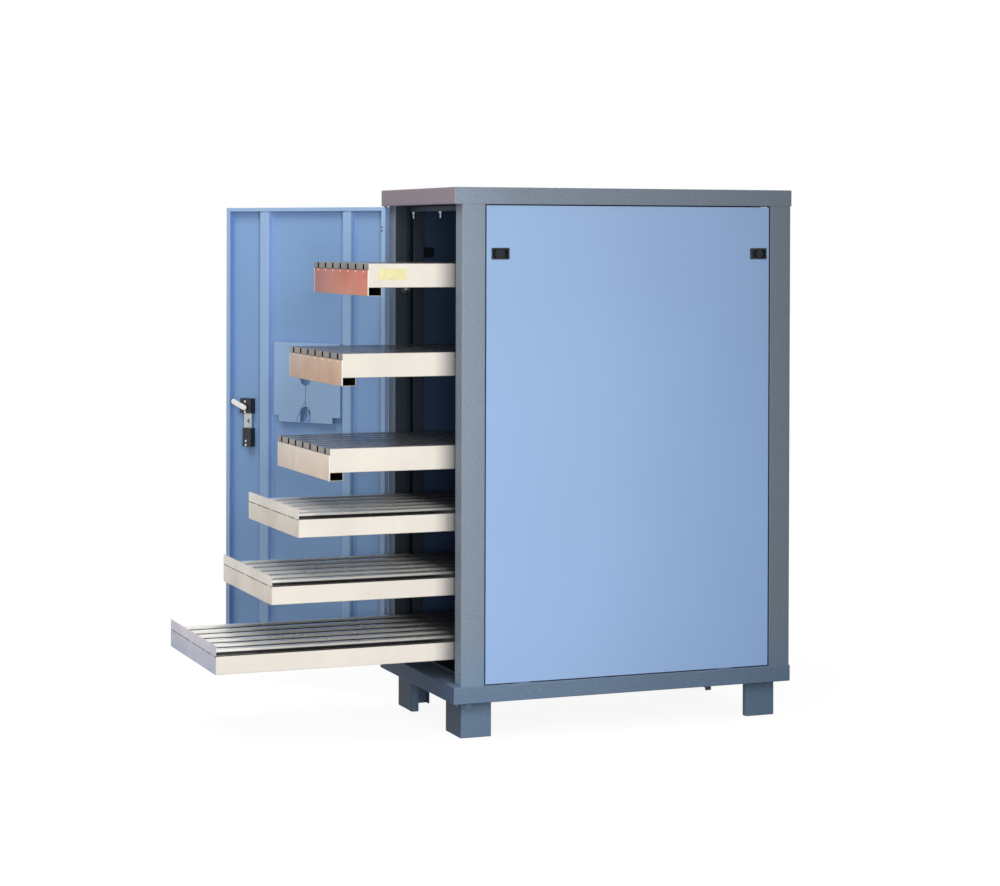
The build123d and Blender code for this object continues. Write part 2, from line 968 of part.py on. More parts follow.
# door, drawn shut with its pins at X 0 and Y 0, in the middle of the leaf, then turned open

def in_place(shape):
    return Pos(hinge_x, hinge_y, 0) * Rot(0, 0, -door_open) * shape


def pin_bore(z0, z1):
    return rod_z(pin + 2 * bore_play, 0, 0, z0, z1)


def door_leaf():
    thick = door_thick / 2
    edge = -pivot_edge
    body = block(edge, door_width, -thick, thick, door_low, door_high)
    body = fillet(body.edges(), door_round)
    s = panel_sheet
    body -= block(edge + s, door_width - s, -thick + s, thick - s, door_low + s, door_high - s)
    body -= block(edge + door_lip, door_width - door_lip, 0, thick + 1,
                  door_low + door_end_lip, door_high - door_end_lip)
    body -= pin_bore(door_low - 1, door_low + 2 * s)
    body -= pin_bore(door_high - 2 * s, door_high + 1)
    return body - rod_y(spindle + 2 * bore_play, lock_u, -thick - 1, thick, lock_z)


def hat(places):
    """Stiffener standing on the door skin."""
    foot_a, wall_a, wall_b, foot_b = places
    top = hat_top - panel_sheet
    a = wall_a + panel_sheet
    b = wall_b - panel_sheet
    points = [(foot_a, skin), (a, skin), (a, top), (b, top), (b, skin), (foot_b, skin)]
    low = door_low + panel_sheet
    high = door_high - panel_sheet
    return up(fold(points, panel_sheet, hat_bend), low, high)


def door_stiffeners():
    return Compound(children=[hat(hat_one), hat(hat_from_hinge)])


def holder_openings():
    """Round hole, slit and arch in the face of the document holder."""
    u = holder_middle + holder_hole_shift
    z = holder_low + holder_hole_up
    arch_u = holder_middle + holder_arch_shift
    radius = holder_arch_radius
    springing = holder_low + holder_arch_up - radius
    y0 = holder_face / 2
    y1 = holder_face + 1
    hole = rod_y(2 * holder_hole_radius, u, y0, y1, z)
    slit = block(u - holder_slit / 2, u + holder_slit / 2, y0, y1, springing, z)
    arch = block(arch_u - radius, arch_u + radius, y0, y1, holder_low - 1, springing)
    arch += rod_y(2 * radius, arch_u, y0, y1, springing)
    return [hole, slit, arch]


def document_holder():
    low = holder_low
    high = holder_low + holder_height
    inner, outer = holder_notch_wide
    rise = holder_notch_tall
    s = panel_sheet
    points = [(holder_left, skin), (holder_left, holder_face),
              (holder_right, holder_face), (holder_right, skin)]
    line = FilletPolyline(*points, radius=hat_bend)
    section = make_face(offset(line, s, side=Side.RIGHT).edges())
    body = up(section, low, high)
    body += block(holder_left + inner, holder_right - outer, skin, holder_face - 0.5,
                  low, low + s)
    for a, b in ((holder_left - 1, holder_left + inner), (holder_right - outer, holder_right + 1)):
        body -= block(a, b, skin - 1, holder_face + 1, low - 1, low + rise)
    body -= holder_openings()
    y = holder_face + wire_radius
    path = ThreePointArc(*[(holder_middle + a, y, low + b) for a, b in wire_points])
    ring = Plane(origin=path @ 0, z_dir=path % 0) * Circle(wire_radius)
    wire = sweep(ring, path=path)
    return Compound(children=[body, wire])


def lock_case():
    a, b, c, d = [lock_z + level for level in lock_levels]
    left, right = lock_case_top
    top = block(lock_u + left, lock_u + right, skin, lock_face, c, d)
    top = fillet(top.edges().filter_by(Axis.Y), lock_corner)
    top -= rod_y(spindle + 2 * bore_play, lock_u, skin - 1, lock_face + 1, lock_z)
    left, right = lock_case_low
    bottom = block(lock_u + left, lock_u + right, skin, lock_face, a, b)
    bottom = fillet(bottom.edges().filter_by(Axis.Y), lock_corner)
    return Compound(children=[top, bottom])


def lock_plate():
    left, right = lock_plate_wide
    y = skin + lock_plate_deep
    body = block(lock_u + left, lock_u + right, skin, y,
                 lock_z + lock_levels[1], lock_z + lock_levels[2])
    u, z = lock_eye
    body -= rod_y(lock_eye_wide, lock_u + u, y - lock_plate_deep * 2 / 3, y + 1, lock_z + z)
    solids = [body]
    for u, z in lock_screws:
        solids.append(rod_y(lock_screw_wide, lock_u + u, lock_face,
                            lock_face + lock_screw_thick, lock_z + z))
    return Compound(children=solids)


def lock_turn(shape):
    """Turns the cam and handle from level to their place in the rest pose."""
    return Pos(lock_u, 0, lock_z) * Rot(0, -cam_turn, 0) * shape


def lock_cam():
    """Flat cam, its ends round, on the inner end of the spindle."""
    y = cam_face
    body = block(0, cam_reach, y, y + cam_thick, -cam_wide / 2, cam_wide / 2)
    body += rod_y(cam_wide, 0, y, y + cam_thick, 0)
    body += rod_y(cam_wide, cam_reach, y, y + cam_thick, 0)
    body += rod_y(cam_boss, 0, y, y + cam_thick + cam_boss_up, 0)
    return lock_turn(body)


def door_handle():
    """Turning handle outside with a spindle through the lock case."""
    out = -door_thick / 2
    bar = out - handle_out
    root = bar + handle_thick / 3
    body = rod_y(spindle, 0, root, cam_face, 0)
    body += rod_y(rose_wide, 0, out - rose_thick, out - rose_gap, 0)
    body += rod_y(handle_neck, 0, root, out - 1, 0)
    grip = block(-handle_half, handle_half, bar, bar + handle_thick,
                 handle_past - handle_long, handle_past)
    body += fillet(grip.edges(), handle_round)
    return lock_turn(body)


def pivot_bar(low, high, screws):
    """Bar in the door's hinged corner with a bore for the pin, and its two screws."""
    inner = door_thick / 2 - panel_sheet
    edge = -pivot_edge
    body = block(edge + panel_sheet, edge + panel_sheet + pivot_bar_wide, -inner, inner, low, high)
    body -= pin_bore(low - 1, high + 1)
    solids = [body]
    face = door_thick / 2
    for z in screws:
        solids.append(rod_y(pivot_screw, edge + pivot_screw_in, face,
                            face + pivot_screw_thick, z))
    return solids


def door_hinge_halves():
    low = door_low + panel_sheet
    high = door_high - panel_sheet
    top_screws = [door_high - down for down in pivot_screws_down]
    low_screws = [door_low + down for down in pivot_screws_down]
    solids = pivot_bar(high - pivot_bar_long, high, top_screws)
    solids += pivot_bar(low, low + pivot_bar_long, low_screws)
    return Compound(children=solids)


def post_hinge_halves():
    """Pins on the base and under the cap, each on a disc that the door turns on."""
    disc = door_edge_gap - pin_disc_gap
    low = rod_z(pin_disc, hinge_x, hinge_y, base_top, base_top + disc)
    low += rod_z(pin, hinge_x, hinge_y, base_top, base_top + pin_long)
    high = rod_z(pin_disc, hinge_x, hinge_y, cap_bottom - disc, cap_bottom)
    high += rod_z(pin, hinge_x, hinge_y, cap_bottom - pin_long, cap_bottom)
    return Compound(children=[low, high])


def build_nodes():
    front_right = front_post()
    rear_right = rear_post()
    right_panel = side_panel()
    nodes = {
        "top_cap": top_cap(),
        "base_frame": base_frame(),
        "foot_tabs": Compound(children=at_corners(foot_tab())),
        "feet": Compound(children=at_corners(foot())),
        "foot_bolts": Compound(children=at_corners(foot_bolt_pair())),
        "front_right_post": front_right - keeper_slot() - small_slot(),
        "front_left_post": mirror(front_right, about=Plane.YZ),
        "rear_right_post": rear_right,
        "rear_left_post": mirror(rear_right, about=Plane.YZ),
        "rear_panel": rear_panel(),
        "rear_panel_screws": rear_panel_screws(),
        "right_side_panel": right_panel,
        "left_side_panel": mirror(right_panel, about=Plane.YZ),
        "latch_housings": latch_housings(),
        "top_front_rail": top_front_rail(),
        "rail_bolts": rail_bolts(),
        "floor_panel": floor_panel(),
        "runner_uprights": runner_uprights(),
        "runner_rails": runner_rails(),
        "front_roller_axles": front_roller_axles(),
        "post_hinge_halves": post_hinge_halves(),
        "door_leaf": in_place(door_leaf()),
        "door_stiffeners": in_place(door_stiffeners()),
        "document_holder": in_place(document_holder()),
        "lock_case": in_place(lock_case()),
        "lock_plate": in_place(lock_plate()),
        "lock_cam": in_place(lock_cam()),
        "door_handle": in_place(door_handle()),
        "door_hinge_halves": in_place(door_hinge_halves()),
    }
    for (y, way), end in zip(latch_places(), ("front", "rear")):
        right, left = both_sides(latch_slider(y, way))
        nodes["right_" + end + "_latch_slider"] = right
        nodes["left_" + end + "_latch_slider"] = left
    for number in range(6):
        name = "tray_" + str(number + 1)
        nodes[name + "_front_rollers"] = front_rollers(number)
        nodes[name + "_rear_rollers"] = rear_rollers(number)
        if number < 3:
            nodes[name + "_frame"] = upper_frame(number)
            nodes[name + "_deck"] = upper_deck(number)
            nodes[name + "_front"] = upper_front(number)
        else:
            nodes[name + "_frame"] = lower_frame(number)
            nodes[name + "_deck"] = lower_deck(number)
    return nodes


os.makedirs("parts", exist_ok=True)
for node, shape in build_nodes().items():
    export_step(shape, "parts/" + node + ".step")
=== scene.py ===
"""Looks of the bending tool cabinet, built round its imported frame."""

import json
import math

import bpy
from mathutils import Matrix, Vector


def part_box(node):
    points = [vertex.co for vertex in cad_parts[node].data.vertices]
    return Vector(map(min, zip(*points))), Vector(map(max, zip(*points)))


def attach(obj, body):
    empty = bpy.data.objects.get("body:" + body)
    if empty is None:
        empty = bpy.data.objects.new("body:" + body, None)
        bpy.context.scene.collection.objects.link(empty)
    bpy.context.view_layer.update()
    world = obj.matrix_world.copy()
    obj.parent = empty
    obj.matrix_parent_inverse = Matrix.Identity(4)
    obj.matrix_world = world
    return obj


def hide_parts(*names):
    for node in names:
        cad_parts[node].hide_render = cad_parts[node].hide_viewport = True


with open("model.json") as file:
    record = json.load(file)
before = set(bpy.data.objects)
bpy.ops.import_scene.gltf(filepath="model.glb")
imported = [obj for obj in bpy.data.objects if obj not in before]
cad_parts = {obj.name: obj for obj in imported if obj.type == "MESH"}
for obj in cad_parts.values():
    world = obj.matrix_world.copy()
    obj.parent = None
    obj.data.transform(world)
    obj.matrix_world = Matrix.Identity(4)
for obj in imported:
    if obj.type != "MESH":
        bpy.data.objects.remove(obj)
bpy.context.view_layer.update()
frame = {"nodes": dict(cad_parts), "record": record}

bl_info = {
    "name": "Bending Tool Cabinet",
    "version": (1, 0, 0),
    "blender": (4, 5, 0),
    "location": "View3D > Sidebar > Cabinet",
    "description": "Finishes and small fittings of a cabinet with pull-out trays",
    "category": "Object",
}

UPPER_TRAYS = (1, 2, 3)
LOWER_TRAYS = (4, 5, 6)
ALL_TRAYS = UPPER_TRAYS + LOWER_TRAYS
SLIDERS = (("right", "front"), ("right", "rear"), ("left", "front"), ("left", "rear"))

# places and sizes of the frame, in metres
DOOR_PINS = Vector((-0.292, -0.490, 0.0))
DOOR_OPEN = math.radians(145.5)
LEAF_INWARD = Vector((math.sin(DOOR_OPEN), math.cos(DOOR_OPEN), 0))
SLOT_PITCH = 0.0665
GRIP_HALF = 0.2265
TRAY_HALF = 0.2375
POST_FACE = -0.478
INSIDE_CENTRE = (0, 0.012, 0.80)
INSIDE_HALF = (0.2965, 0.486, 0.654)
FRONT_SHEET = 0.0012

# painted light and shade on the grey coat: direction, two places along it and the tint beyond the
# second one; bluer low down, darker to the rear, paler to the front
LOW_BLUER = ((0, 0, 1), 0.30, 0.10, (0.82, 1.0, 1.18))
REAR_DARKER = ((0, 1, 0), -0.2, 0.5, (0.8, 0.8, 0.8))
FRONT_PALER = ((0, -1, 0), 0.30, 0.46, (1.25, 1.25, 1.25))
# painted light, pinkish, on the cap's front; painted shade on the fronts of the base ring and the
# feet
CAP_FRONT_LIGHT = (1.38, 0.92, 0.88)
BASE_FRONT_SHADE = (0.30, 0.42, 0.60)
FOOT_FRONT_SHADE = (0.36, 0.42, 0.46)
# painted shade within the cabinet
GREY_INSIDE_SHADE = (0.20, 0.23, 0.25)

# painted light and shade on the blue coats: the panels darker to the rear, paler low down and
# darker inside, the door paler on its raised parts
PANEL_REAR = ((0, 1, 0), -0.1, 0.45, (0.86, 0.90, 0.94))
PANEL_LOW = ((0, 0, 1), 1.2, 0.3, (1.12, 1.14, 1.18))
DOOR_RAISED_HIGHLIGHT = (1.45, 1.28, 1.12)
BLUE_INSIDE_SHADE = (0.22, 0.26, 0.34)

# painted reflections on the tray fronts: their colours at the lower and upper edge
UPPER_REFLECTIONS = {1: ("#E19478", "#D57566"), 2: ("#DAB296", "#DCBFA6"), 3: ("#EBD5C2", "#EEDFD0")}
LOWER_REFLECTIONS = {4: ("#E2D7C9", "#EFE7DD"), 5: ("#E2D7C9", "#EFE7DD"), 6: ("#B3BFD6", "#D8CAD5")}
# colours of the grey slotted strip on the upper decks, at its lower and upper edge
STRIP_TINT = ("#6E6763", "#857E79")

# deck colours from the bottom of a slot or a valley, 0, to the top, 1: painted shade low down,
# painted highlights on the ridges' tops
SLOT_STOPS = ((0.0, "#060708"), (0.84, "#0C0D0E"), (0.93, "#757478"), (1.0, "#87868A"))
RIDGE_STOPS = ((0.0, "#141518"), (0.40, "#2A2A2D"), (0.55, "#E6E3DE"), (1.0, "#FFFEFA"))

# place of the camera in metres, its angles in radians, its lens and sensor in millimetres
CAMERA_PLACE = Vector((6.2623, -2.7327, 1.3325))
CAMERA_TURN = 1.1960759679835689
CAMERA_TILT = -0.007755668761873994
CAMERA_ROLL = 0.00278411707447507
CAMERA_LENS = 87.16
CAMERA_SENSOR = 36
CAMERA_SHIFT = (0.0055, -0.187)


# sizes and colours a user may change

def linear(code):
    """Linear RGB of an sRGB hex colour."""
    parts = [int(code[i:i + 2], 16) / 255 for i in (1, 3, 5)]
    return [c / 12.92 if c <= 0.04045 else ((c + 0.055) / 1.055) ** 2.4 for c in parts]


def colour_prop(name, code, what):
    return bpy.props.FloatVectorProperty(
        name=name, description=what, subtype="COLOR", size=3, min=0, max=1,
        default=linear(code))


def length_prop(name, metres, what):
    return bpy.props.FloatProperty(
        name=name, description=what, unit="LENGTH", subtype="DISTANCE", min=0,
        default=metres)


class CabinetFinish(bpy.types.PropertyGroup):
    frame_grey: colour_prop("Frame", "#77828F", "Powder coat of the cap, posts, base and feet")
    panel_blue: colour_prop("Panels", "#94B0D5", "Powder coat of the side and rear panels")
    door_blue: colour_prop("Door", "#92B8E8", "Powder coat of the door and what is welded to it")
    tray_steel: colour_prop("Trays", "#ECE5DA", "Bright cold rolled steel of the trays")
    label_paper: colour_prop("Label", "#E8E0A8", "Blank paper label on the top tray")
    plastic_black: colour_prop("Plastic", "#1A1F25", "Moulded latches and lock boxes")


class FittingSizes(bpy.types.PropertyGroup):
    edge_round: length_prop("Edge rounding", 0.0008, "How far moulded edges are rounded")
    bead: length_prop("Edge bead", 0.0016, "Radius of the bright rolled edge of a tray front")
    seam: length_prop("Seam", 0.0026, "Height of the dark joint under a tray's lip")
    label_length: length_prop("Label length", 0.077, "Length of the blank label")
    label_height: length_prop("Label height", 0.029, "Height of the blank label")
    rivet: length_prop("Rivet", 0.0026, "Radius of the rivets under the slots")


class StageSettings(bpy.types.PropertyGroup):
    floor_white: colour_prop("Floor", "#FAFAFA", "Plain floor")
    key_watts: bpy.props.FloatProperty(
        name="Key light", description="Power of the large light on the panel side",
        unit="POWER", min=0, default=63.0)
    front_watts: bpy.props.FloatProperty(
        name="Front light", description="Power of the high light in front of the trays",
        unit="POWER", min=0, default=66.0)
    room: bpy.props.FloatProperty(
        name="Room light", description="Strength of the even light from all round",
        min=0, default=0.20)


# mesh helpers

def only(piece):
    """Leaves one object selected and active, in object mode."""
    if bpy.context.object and bpy.context.object.mode != "OBJECT":
        bpy.ops.object.mode_set(mode="OBJECT")
    bpy.ops.object.select_all(action="DESELECT")
    if piece:
        piece.select_set(True)
        bpy.context.view_layer.objects.active = piece


def settle(piece):
    """Moves the piece's place into its mesh."""
    only(piece)
    bpy.ops.object.transform_apply(location=True, rotation=True, scale=True)
    return piece


def cuboid(name, low, high):
    """Box between two corners, ready to be shaped."""
    only(None)
    low = Vector(low)
    high = Vector(high)
    bpy.ops.mesh.primitive_cube_add(size=1, location=(low + high) / 2)
    piece = bpy.context.object
    piece.name = name
    piece.scale = high - low
    return settle(piece)


def disc(name, radius, thick, centre, axis, sides=32):
    """Round blank with its axis along X, Y or Z."""
    only(None)
    turn = {"X": (0, math.pi / 2, 0), "Y": (math.pi / 2, 0, 0), "Z": (0, 0, 0)}[axis]
    bpy.ops.mesh.primitive_cylinder_add(
        vertices=sides, radius=radius, depth=thick, location=centre, rotation=turn)
    piece = bpy.context.object
    piece.name = name
    return settle(piece)


def choose_faces(piece, test):
    """Selects the faces that pass a test of centre and normal, in edit mode."""
    only(piece)
    bpy.ops.object.mode_set(mode="EDIT")
    bpy.ops.mesh.select_mode(type="FACE")
    bpy.ops.mesh.select_all(action="DESELECT")
    bpy.ops.object.mode_set(mode="OBJECT")
    for face in piece.data.polygons:
        face.select = test(face.center, face.normal)
    bpy.ops.object.mode_set(mode="EDIT")


def object_mode():
    bpy.ops.object.mode_set(mode="OBJECT")


def sink(piece, test, rim, depth):
    """Insets the chosen faces by rim and pushes them in by depth."""
    choose_faces(piece, test)
    bpy.ops.mesh.inset(thickness=rim, depth=0)
    bpy.ops.mesh.inset(thickness=rim * 0.25, depth=-depth)
    object_mode()


def soften(piece, width, segments=3, angle=35):
    """Rounds the sharp edges and shades the rest smooth."""
    only(piece)
    bevel = piece.modifiers.new("Rounding", "BEVEL")
    bevel.width = width
    bevel.segments = segments
    bevel.limit_method = "ANGLE"
    bevel.angle_limit = math.radians(angle)
    bpy.ops.object.modifier_apply(modifier=bevel.name)
    bpy.ops.object.shade_smooth_by_angle(angle=math.radians(40))
    return piece


def gather(name, parts):
    """Joins parts into one piece."""
    only(parts[0])
    for part in parts:
        part.select_set(True)
    bpy.context.view_layer.objects.active = parts[0]
    if len(parts) > 1:
        bpy.ops.object.join()
    piece = bpy.context.object
    piece.name = name
    return piece


def copies(piece, places):
    """Copies of one finished piece, each with its own mesh; the first one goes."""
    made = []
    for place in places:
        only(piece)
        bpy.ops.object.duplicate(linked=False)
        twin = bpy.context.object
        twin.matrix_world = place @ twin.matrix_world
        made.append(settle(twin))
    only(piece)
    bpy.ops.object.delete()
    return made


def at(x, y, z, turn=0.0, axis="Z"):
    """Place of a copy, turned in degrees about an axis first."""
    return Matrix.Translation((x, y, z)) @ Matrix.Rotation(math.radians(turn), 4, axis)


def coat(piece, material):
    piece.data.materials.clear()
    piece.data.materials.append(material)


def fit(piece, material, body):
    """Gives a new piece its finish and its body."""
    coat(piece, material)
    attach(piece, body)
    return piece


def hang_on_door(piece):
    """Turns a piece drawn on the shut door to where the open door is."""
    only(piece)
    piece.matrix_world = (
        Matrix.Translation(DOOR_PINS) @ Matrix.Rotation(-DOOR_OPEN, 4, "Z")
        @ piece.matrix_world)
    return settle(piece)


def dress(node, material):
    """Gives a frame node another finish."""
    item = frame["nodes"][node]
    for slot in item.material_slots:
        slot.material = material


# materials

def plug(tree, node, inputs):
    """Fills a node's inputs, each from another socket or with a plain value."""
    for key, value in inputs.items():
        if isinstance(value, bpy.types.NodeSocket):
            tree.links.new(value, node.inputs[key])
        else:
            node.inputs[key].default_value = value


def add(tree, kind, inputs=None, stops=(), **settings):
    """Adds a node with its settings, its inputs and, on a ramp, its stops."""
    node = tree.nodes.new(kind)
    for key, value in settings.items():
        setattr(node, key, value)
    plug(tree, node, inputs or {})
    if stops:
        marks = node.color_ramp.elements
        while len(marks) < len(stops):
            marks.new(0.5)
        for mark, (position, colour) in zip(marks, stops):
            mark.position = position
            mark.color = colour
    return node


def rgba(colour, gain=1.0):
    return (*[min(1.0, c * gain) for c in colour], 1.0)


def start_material(name):
    """New material with its shader and the place that its patterns are drawn by."""
    material = bpy.data.materials.new(name)
    material.use_nodes = True
    tree = material.node_tree
    tree.nodes.clear()
    shader = add(tree, "ShaderNodeBsdfPrincipled")
    add(tree, "ShaderNodeOutputMaterial", {"Surface": shader.outputs["BSDF"]})
    place = add(tree, "ShaderNodeTexCoord").outputs["Object"]
    return material, tree, shader, place


def edge_normal_and_highlight(tree, radius):
    """Normal rounded at the edges, and how near a point is to an edge, for painted edge
    highlights.
    """
    edge = add(tree, "ShaderNodeBevel", {"Radius": radius}, samples=4).outputs["Normal"]
    flat = add(tree, "ShaderNodeNewGeometry").outputs["Normal"]
    same = add(tree, "ShaderNodeVectorMath", {0: edge, 1: flat}, operation="DOT_PRODUCT")
    near = add(tree, "ShaderNodeMapRange",
               {"Value": same.outputs["Value"], "From Min": 0.995, "From Max": 0.90})
    return edge, near.outputs["Result"]


def shade(tree, place, colour, way, low, high, tint):
    """Tints a colour more and more along a direction, to paint light and shade."""
    along = add(tree, "ShaderNodeVectorMath", {0: place, 1: way}, operation="DOT_PRODUCT")
    amount = add(tree, "ShaderNodeMapRange",
                 {"Value": along.outputs["Value"], "From Min": low, "From Max": high})
    tinted = add(tree, "ShaderNodeMix",
                 {0: amount.outputs["Result"], 6: colour, 7: (*tint, 1.0)},
                 data_type="RGBA", blend_type="MULTIPLY")
    return tinted.outputs[2]


def inside_cabinet(tree, place):
    """1 between the panels, the cap and the base, 0 outside."""
    off = add(tree, "ShaderNodeVectorMath", {0: place, 1: INSIDE_CENTRE}, operation="SUBTRACT")
    far = add(tree, "ShaderNodeVectorMath", {0: off.outputs["Vector"]}, operation="ABSOLUTE")
    part = add(tree, "ShaderNodeVectorMath", {0: far.outputs["Vector"], 1: INSIDE_HALF},
               operation="DIVIDE")
    axes = add(tree, "ShaderNodeSeparateXYZ", {"Vector": part.outputs["Vector"]}).outputs
    wide = add(tree, "ShaderNodeMath", {0: axes["X"], 1: axes["Y"]}, operation="MAXIMUM")
    most = add(tree, "ShaderNodeMath", {0: wide.outputs[0], 1: axes["Z"]}, operation="MAXIMUM")
    mask = add(tree, "ShaderNodeMath", {0: most.outputs[0], 1: 1.0}, operation="LESS_THAN")
    return mask.outputs[0]


def powder_coat(name, colour, grain_mm, rough, bump, speck, shades=(), inside=None, sheen=0.5):
    """Sprayed and baked powder: specks of the fine peel, and a painted highlight on bends and
    edges.

    shades: painted light and shade, each a direction, two places on it and the tint there.
    inside: tint within the cabinet, painted shade of its dim inside."""
    material, tree, shader, place = start_material(name)
    # slow drift of film thickness over some 400 mm
    drift = add(tree, "ShaderNodeTexNoise",
                {"Vector": place, "Scale": 2.5, "Detail": 2.0, "Roughness": 0.5}).outputs["Fac"]
    even = add(tree, "ShaderNodeValToRGB", {"Fac": drift},
               stops=[(0.25, rgba(colour, 0.94)), (0.75, rgba(colour, 1.05))])
    # peel drawn at its real grain, given in millimetres
    grain = 1000.0 / grain_mm
    peel = add(tree, "ShaderNodeTexNoise",
               {"Vector": place, "Scale": grain, "Detail": 2.0, "Roughness": 0.5}).outputs["Fac"]
    dots = add(tree, "ShaderNodeValToRGB", {"Fac": peel},
               stops=[(0.35, rgba(colour, 1 - speck)), (0.65, rgba(colour, 1 + speck))])
    film = add(tree, "ShaderNodeMix",
               {0: 0.5, 6: even.outputs["Color"], 7: dots.outputs["Color"]}, data_type="RGBA")
    # painted highlight: the coat is drawn paler on bends and edges
    normal, edge_highlight = edge_normal_and_highlight(tree, 0.0018)
    pale = rgba([c * 0.55 + 0.30 for c in colour])
    coated = add(tree, "ShaderNodeMix", {0: edge_highlight, 6: film.outputs[2], 7: pale},
                 data_type="RGBA").outputs[2]
    for way, low, high, tint in shades:
        coated = shade(tree, place, coated, way, low, high, tint)
    # painted shade: the coat is drawn darker inside the cabinet
    if inside:
        coated = add(tree, "ShaderNodeMix",
                     {0: inside_cabinet(tree, place), 6: coated, 7: (*inside, 1.0)},
                     data_type="RGBA", blend_type="MULTIPLY").outputs[2]
    bumped = add(tree, "ShaderNodeBump",
                 {"Height": peel, "Normal": normal, "Strength": bump, "Distance": 0.0004})
    gloss = add(tree, "ShaderNodeMapRange",
                {"Value": drift, "From Min": 0.3, "From Max": 0.7,
                 "To Min": rough - 0.04, "To Max": rough + 0.04})
    plug(tree, shader, {
        "Base Color": coated,
        "Roughness": gloss.outputs["Result"],
        "Normal": bumped.outputs["Normal"],
        "Specular IOR Level": sheen,
    })
    return material


def bright_steel(name, colour, rough, lines=(900, 27, 900), front=None, heights=None,
                 inside=True, hollow=None):
    """Bright cold rolled sheet with faint rolling lines and uneven gloss.

    front: its place on Y, low and high edge, colours there, and the height of a joint.
    heights: low and high edge, and stops between them, which paint shade low down and highlights
    at the top.
    inside: painted shade, darker in the cabinet.
    hollow: painted shade, darker behind a place on Y, below one on Z and left of one on X."""
    material, tree, shader, place = start_material(name)
    axes = add(tree, "ShaderNodeSeparateXYZ", {"Vector": place}).outputs
    drawn = add(tree, "ShaderNodeMapping", {"Vector": place, "Scale": lines})
    # rolling lines about 1 mm apart, coarser than real so that they show
    rolled = add(tree, "ShaderNodeTexNoise",
                 {"Vector": drawn.outputs["Vector"], "Scale": 1.0, "Detail": 3.0,
                  "Roughness": 0.6})
    clouds = add(tree, "ShaderNodeTexNoise",
                 {"Vector": place, "Scale": 7.0, "Detail": 3.0, "Roughness": 0.55}).outputs["Fac"]
    base = add(tree, "ShaderNodeValToRGB", {"Fac": clouds},
               stops=[(0.30, rgba(colour, 0.93)), (0.72, rgba(colour, 1.04))]).outputs["Color"]
    if heights:
        # painted shade in valleys and slots, and painted highlights on the tops
        low, high, stops = heights
        height = add(tree, "ShaderNodeMapRange",
                     {"Value": axes["Z"], "From Min": low, "From Max": high})
        base = add(tree, "ShaderNodeValToRGB", {"Fac": height.outputs["Result"]},
                   stops=[(mark, rgba(linear(code))) for mark, code in stops]).outputs["Color"]
    # painted shade: the sheet is drawn darker where it goes in behind the posts
    if inside:
        deep = add(tree, "ShaderNodeMapRange",
                   {"Value": axes["Y"], "From Min": POST_FACE - 0.055,
                    "From Max": POST_FACE + 0.03})
        base = add(tree, "ShaderNodeMix",
                   {0: deep.outputs["Result"], 6: base, 7: rgba(linear("#66686A"))},
                   data_type="RGBA").outputs[2]
    # painted shade: the grip's hollow is drawn dark brown
    if hollow:
        base = add(tree, "ShaderNodeMix",
                   {0: hollow_mask(tree, axes, *hollow), 6: base, 7: rgba(linear("#2E2721"))},
                   data_type="RGBA").outputs[2]
    if front:
        base = front_sheet(tree, axes, base, clouds, *front)
    gloss = add(tree, "ShaderNodeMapRange",
                {"Value": clouds, "From Min": 0.25, "From Max": 0.75,
                 "To Min": rough * 0.7, "To Max": rough * 1.35})
    edge = add(tree, "ShaderNodeBevel", {"Radius": 0.001}, samples=4)
    bumped = add(tree, "ShaderNodeBump",
                 {"Height": rolled.outputs["Fac"], "Normal": edge.outputs["Normal"],
                  "Strength": 0.05, "Distance": 0.0002})
    # half metallic, because dull rolled sheet scatters part of the light
    plug(tree, shader, {
        "Base Color": base,
        "Roughness": gloss.outputs["Result"],
        "Normal": bumped.outputs["Normal"],
        "Metallic": 0.5,
    })
    return material


def hollow_mask(tree, axes, behind, below, left_of):
    """1 where a point lies behind, below and left of three places, 0 elsewhere."""
    back = add(tree, "ShaderNodeMath", {0: axes["Y"], 1: behind}, operation="GREATER_THAN")
    under = add(tree, "ShaderNodeMath", {0: axes["Z"], 1: below}, operation="LESS_THAN")
    left = add(tree, "ShaderNodeMath", {0: axes["X"], 1: left_of}, operation="LESS_THAN")
    corner = add(tree, "ShaderNodeMath", {0: back.outputs[0], 1: under.outputs[0]},
                 operation="MULTIPLY")
    mask = add(tree, "ShaderNodeMath", {0: corner.outputs[0], 1: left.outputs[0]},
               operation="MULTIPLY")
    return mask.outputs[0]


def front_sheet(tree, axes, base, clouds, y, low, high, tint_low, tint_high, joint=None):
    """Front sheet over the rest in colours that run from its lower to its upper edge, on the tray
    fronts a painted reflection, with a broken dark joint where two sheets meet.
    """
    height = add(tree, "ShaderNodeMapRange",
                 {"Value": axes["Z"], "From Min": low, "From Max": high})
    gradient = add(tree, "ShaderNodeValToRGB", {"Fac": height.outputs["Result"]},
               stops=[(0.0, rgba(tint_low)), (1.0, rgba(tint_high))])
    stain = add(tree, "ShaderNodeMapRange",
                {"Value": clouds, "From Min": 0.40, "From Max": 0.75, "To Max": 0.45})
    tint = add(tree, "ShaderNodeMix",
               {0: stain.outputs["Result"], 6: gradient.outputs["Color"], 7: rgba(tint_low, 0.72)},
               data_type="RGBA").outputs[2]
    if joint:
        tint = add(tree, "ShaderNodeMix",
                   {0: broken_line(tree, axes, *joint), 6: tint, 7: rgba(linear("#3D342C"))},
                   data_type="RGBA").outputs[2]
    mask = add(tree, "ShaderNodeMath", {0: axes["Y"], 1: y + FRONT_SHEET},
               operation="LESS_THAN")
    return add(tree, "ShaderNodeMix", {0: mask.outputs[0], 6: base, 7: tint},
               data_type="RGBA").outputs[2]


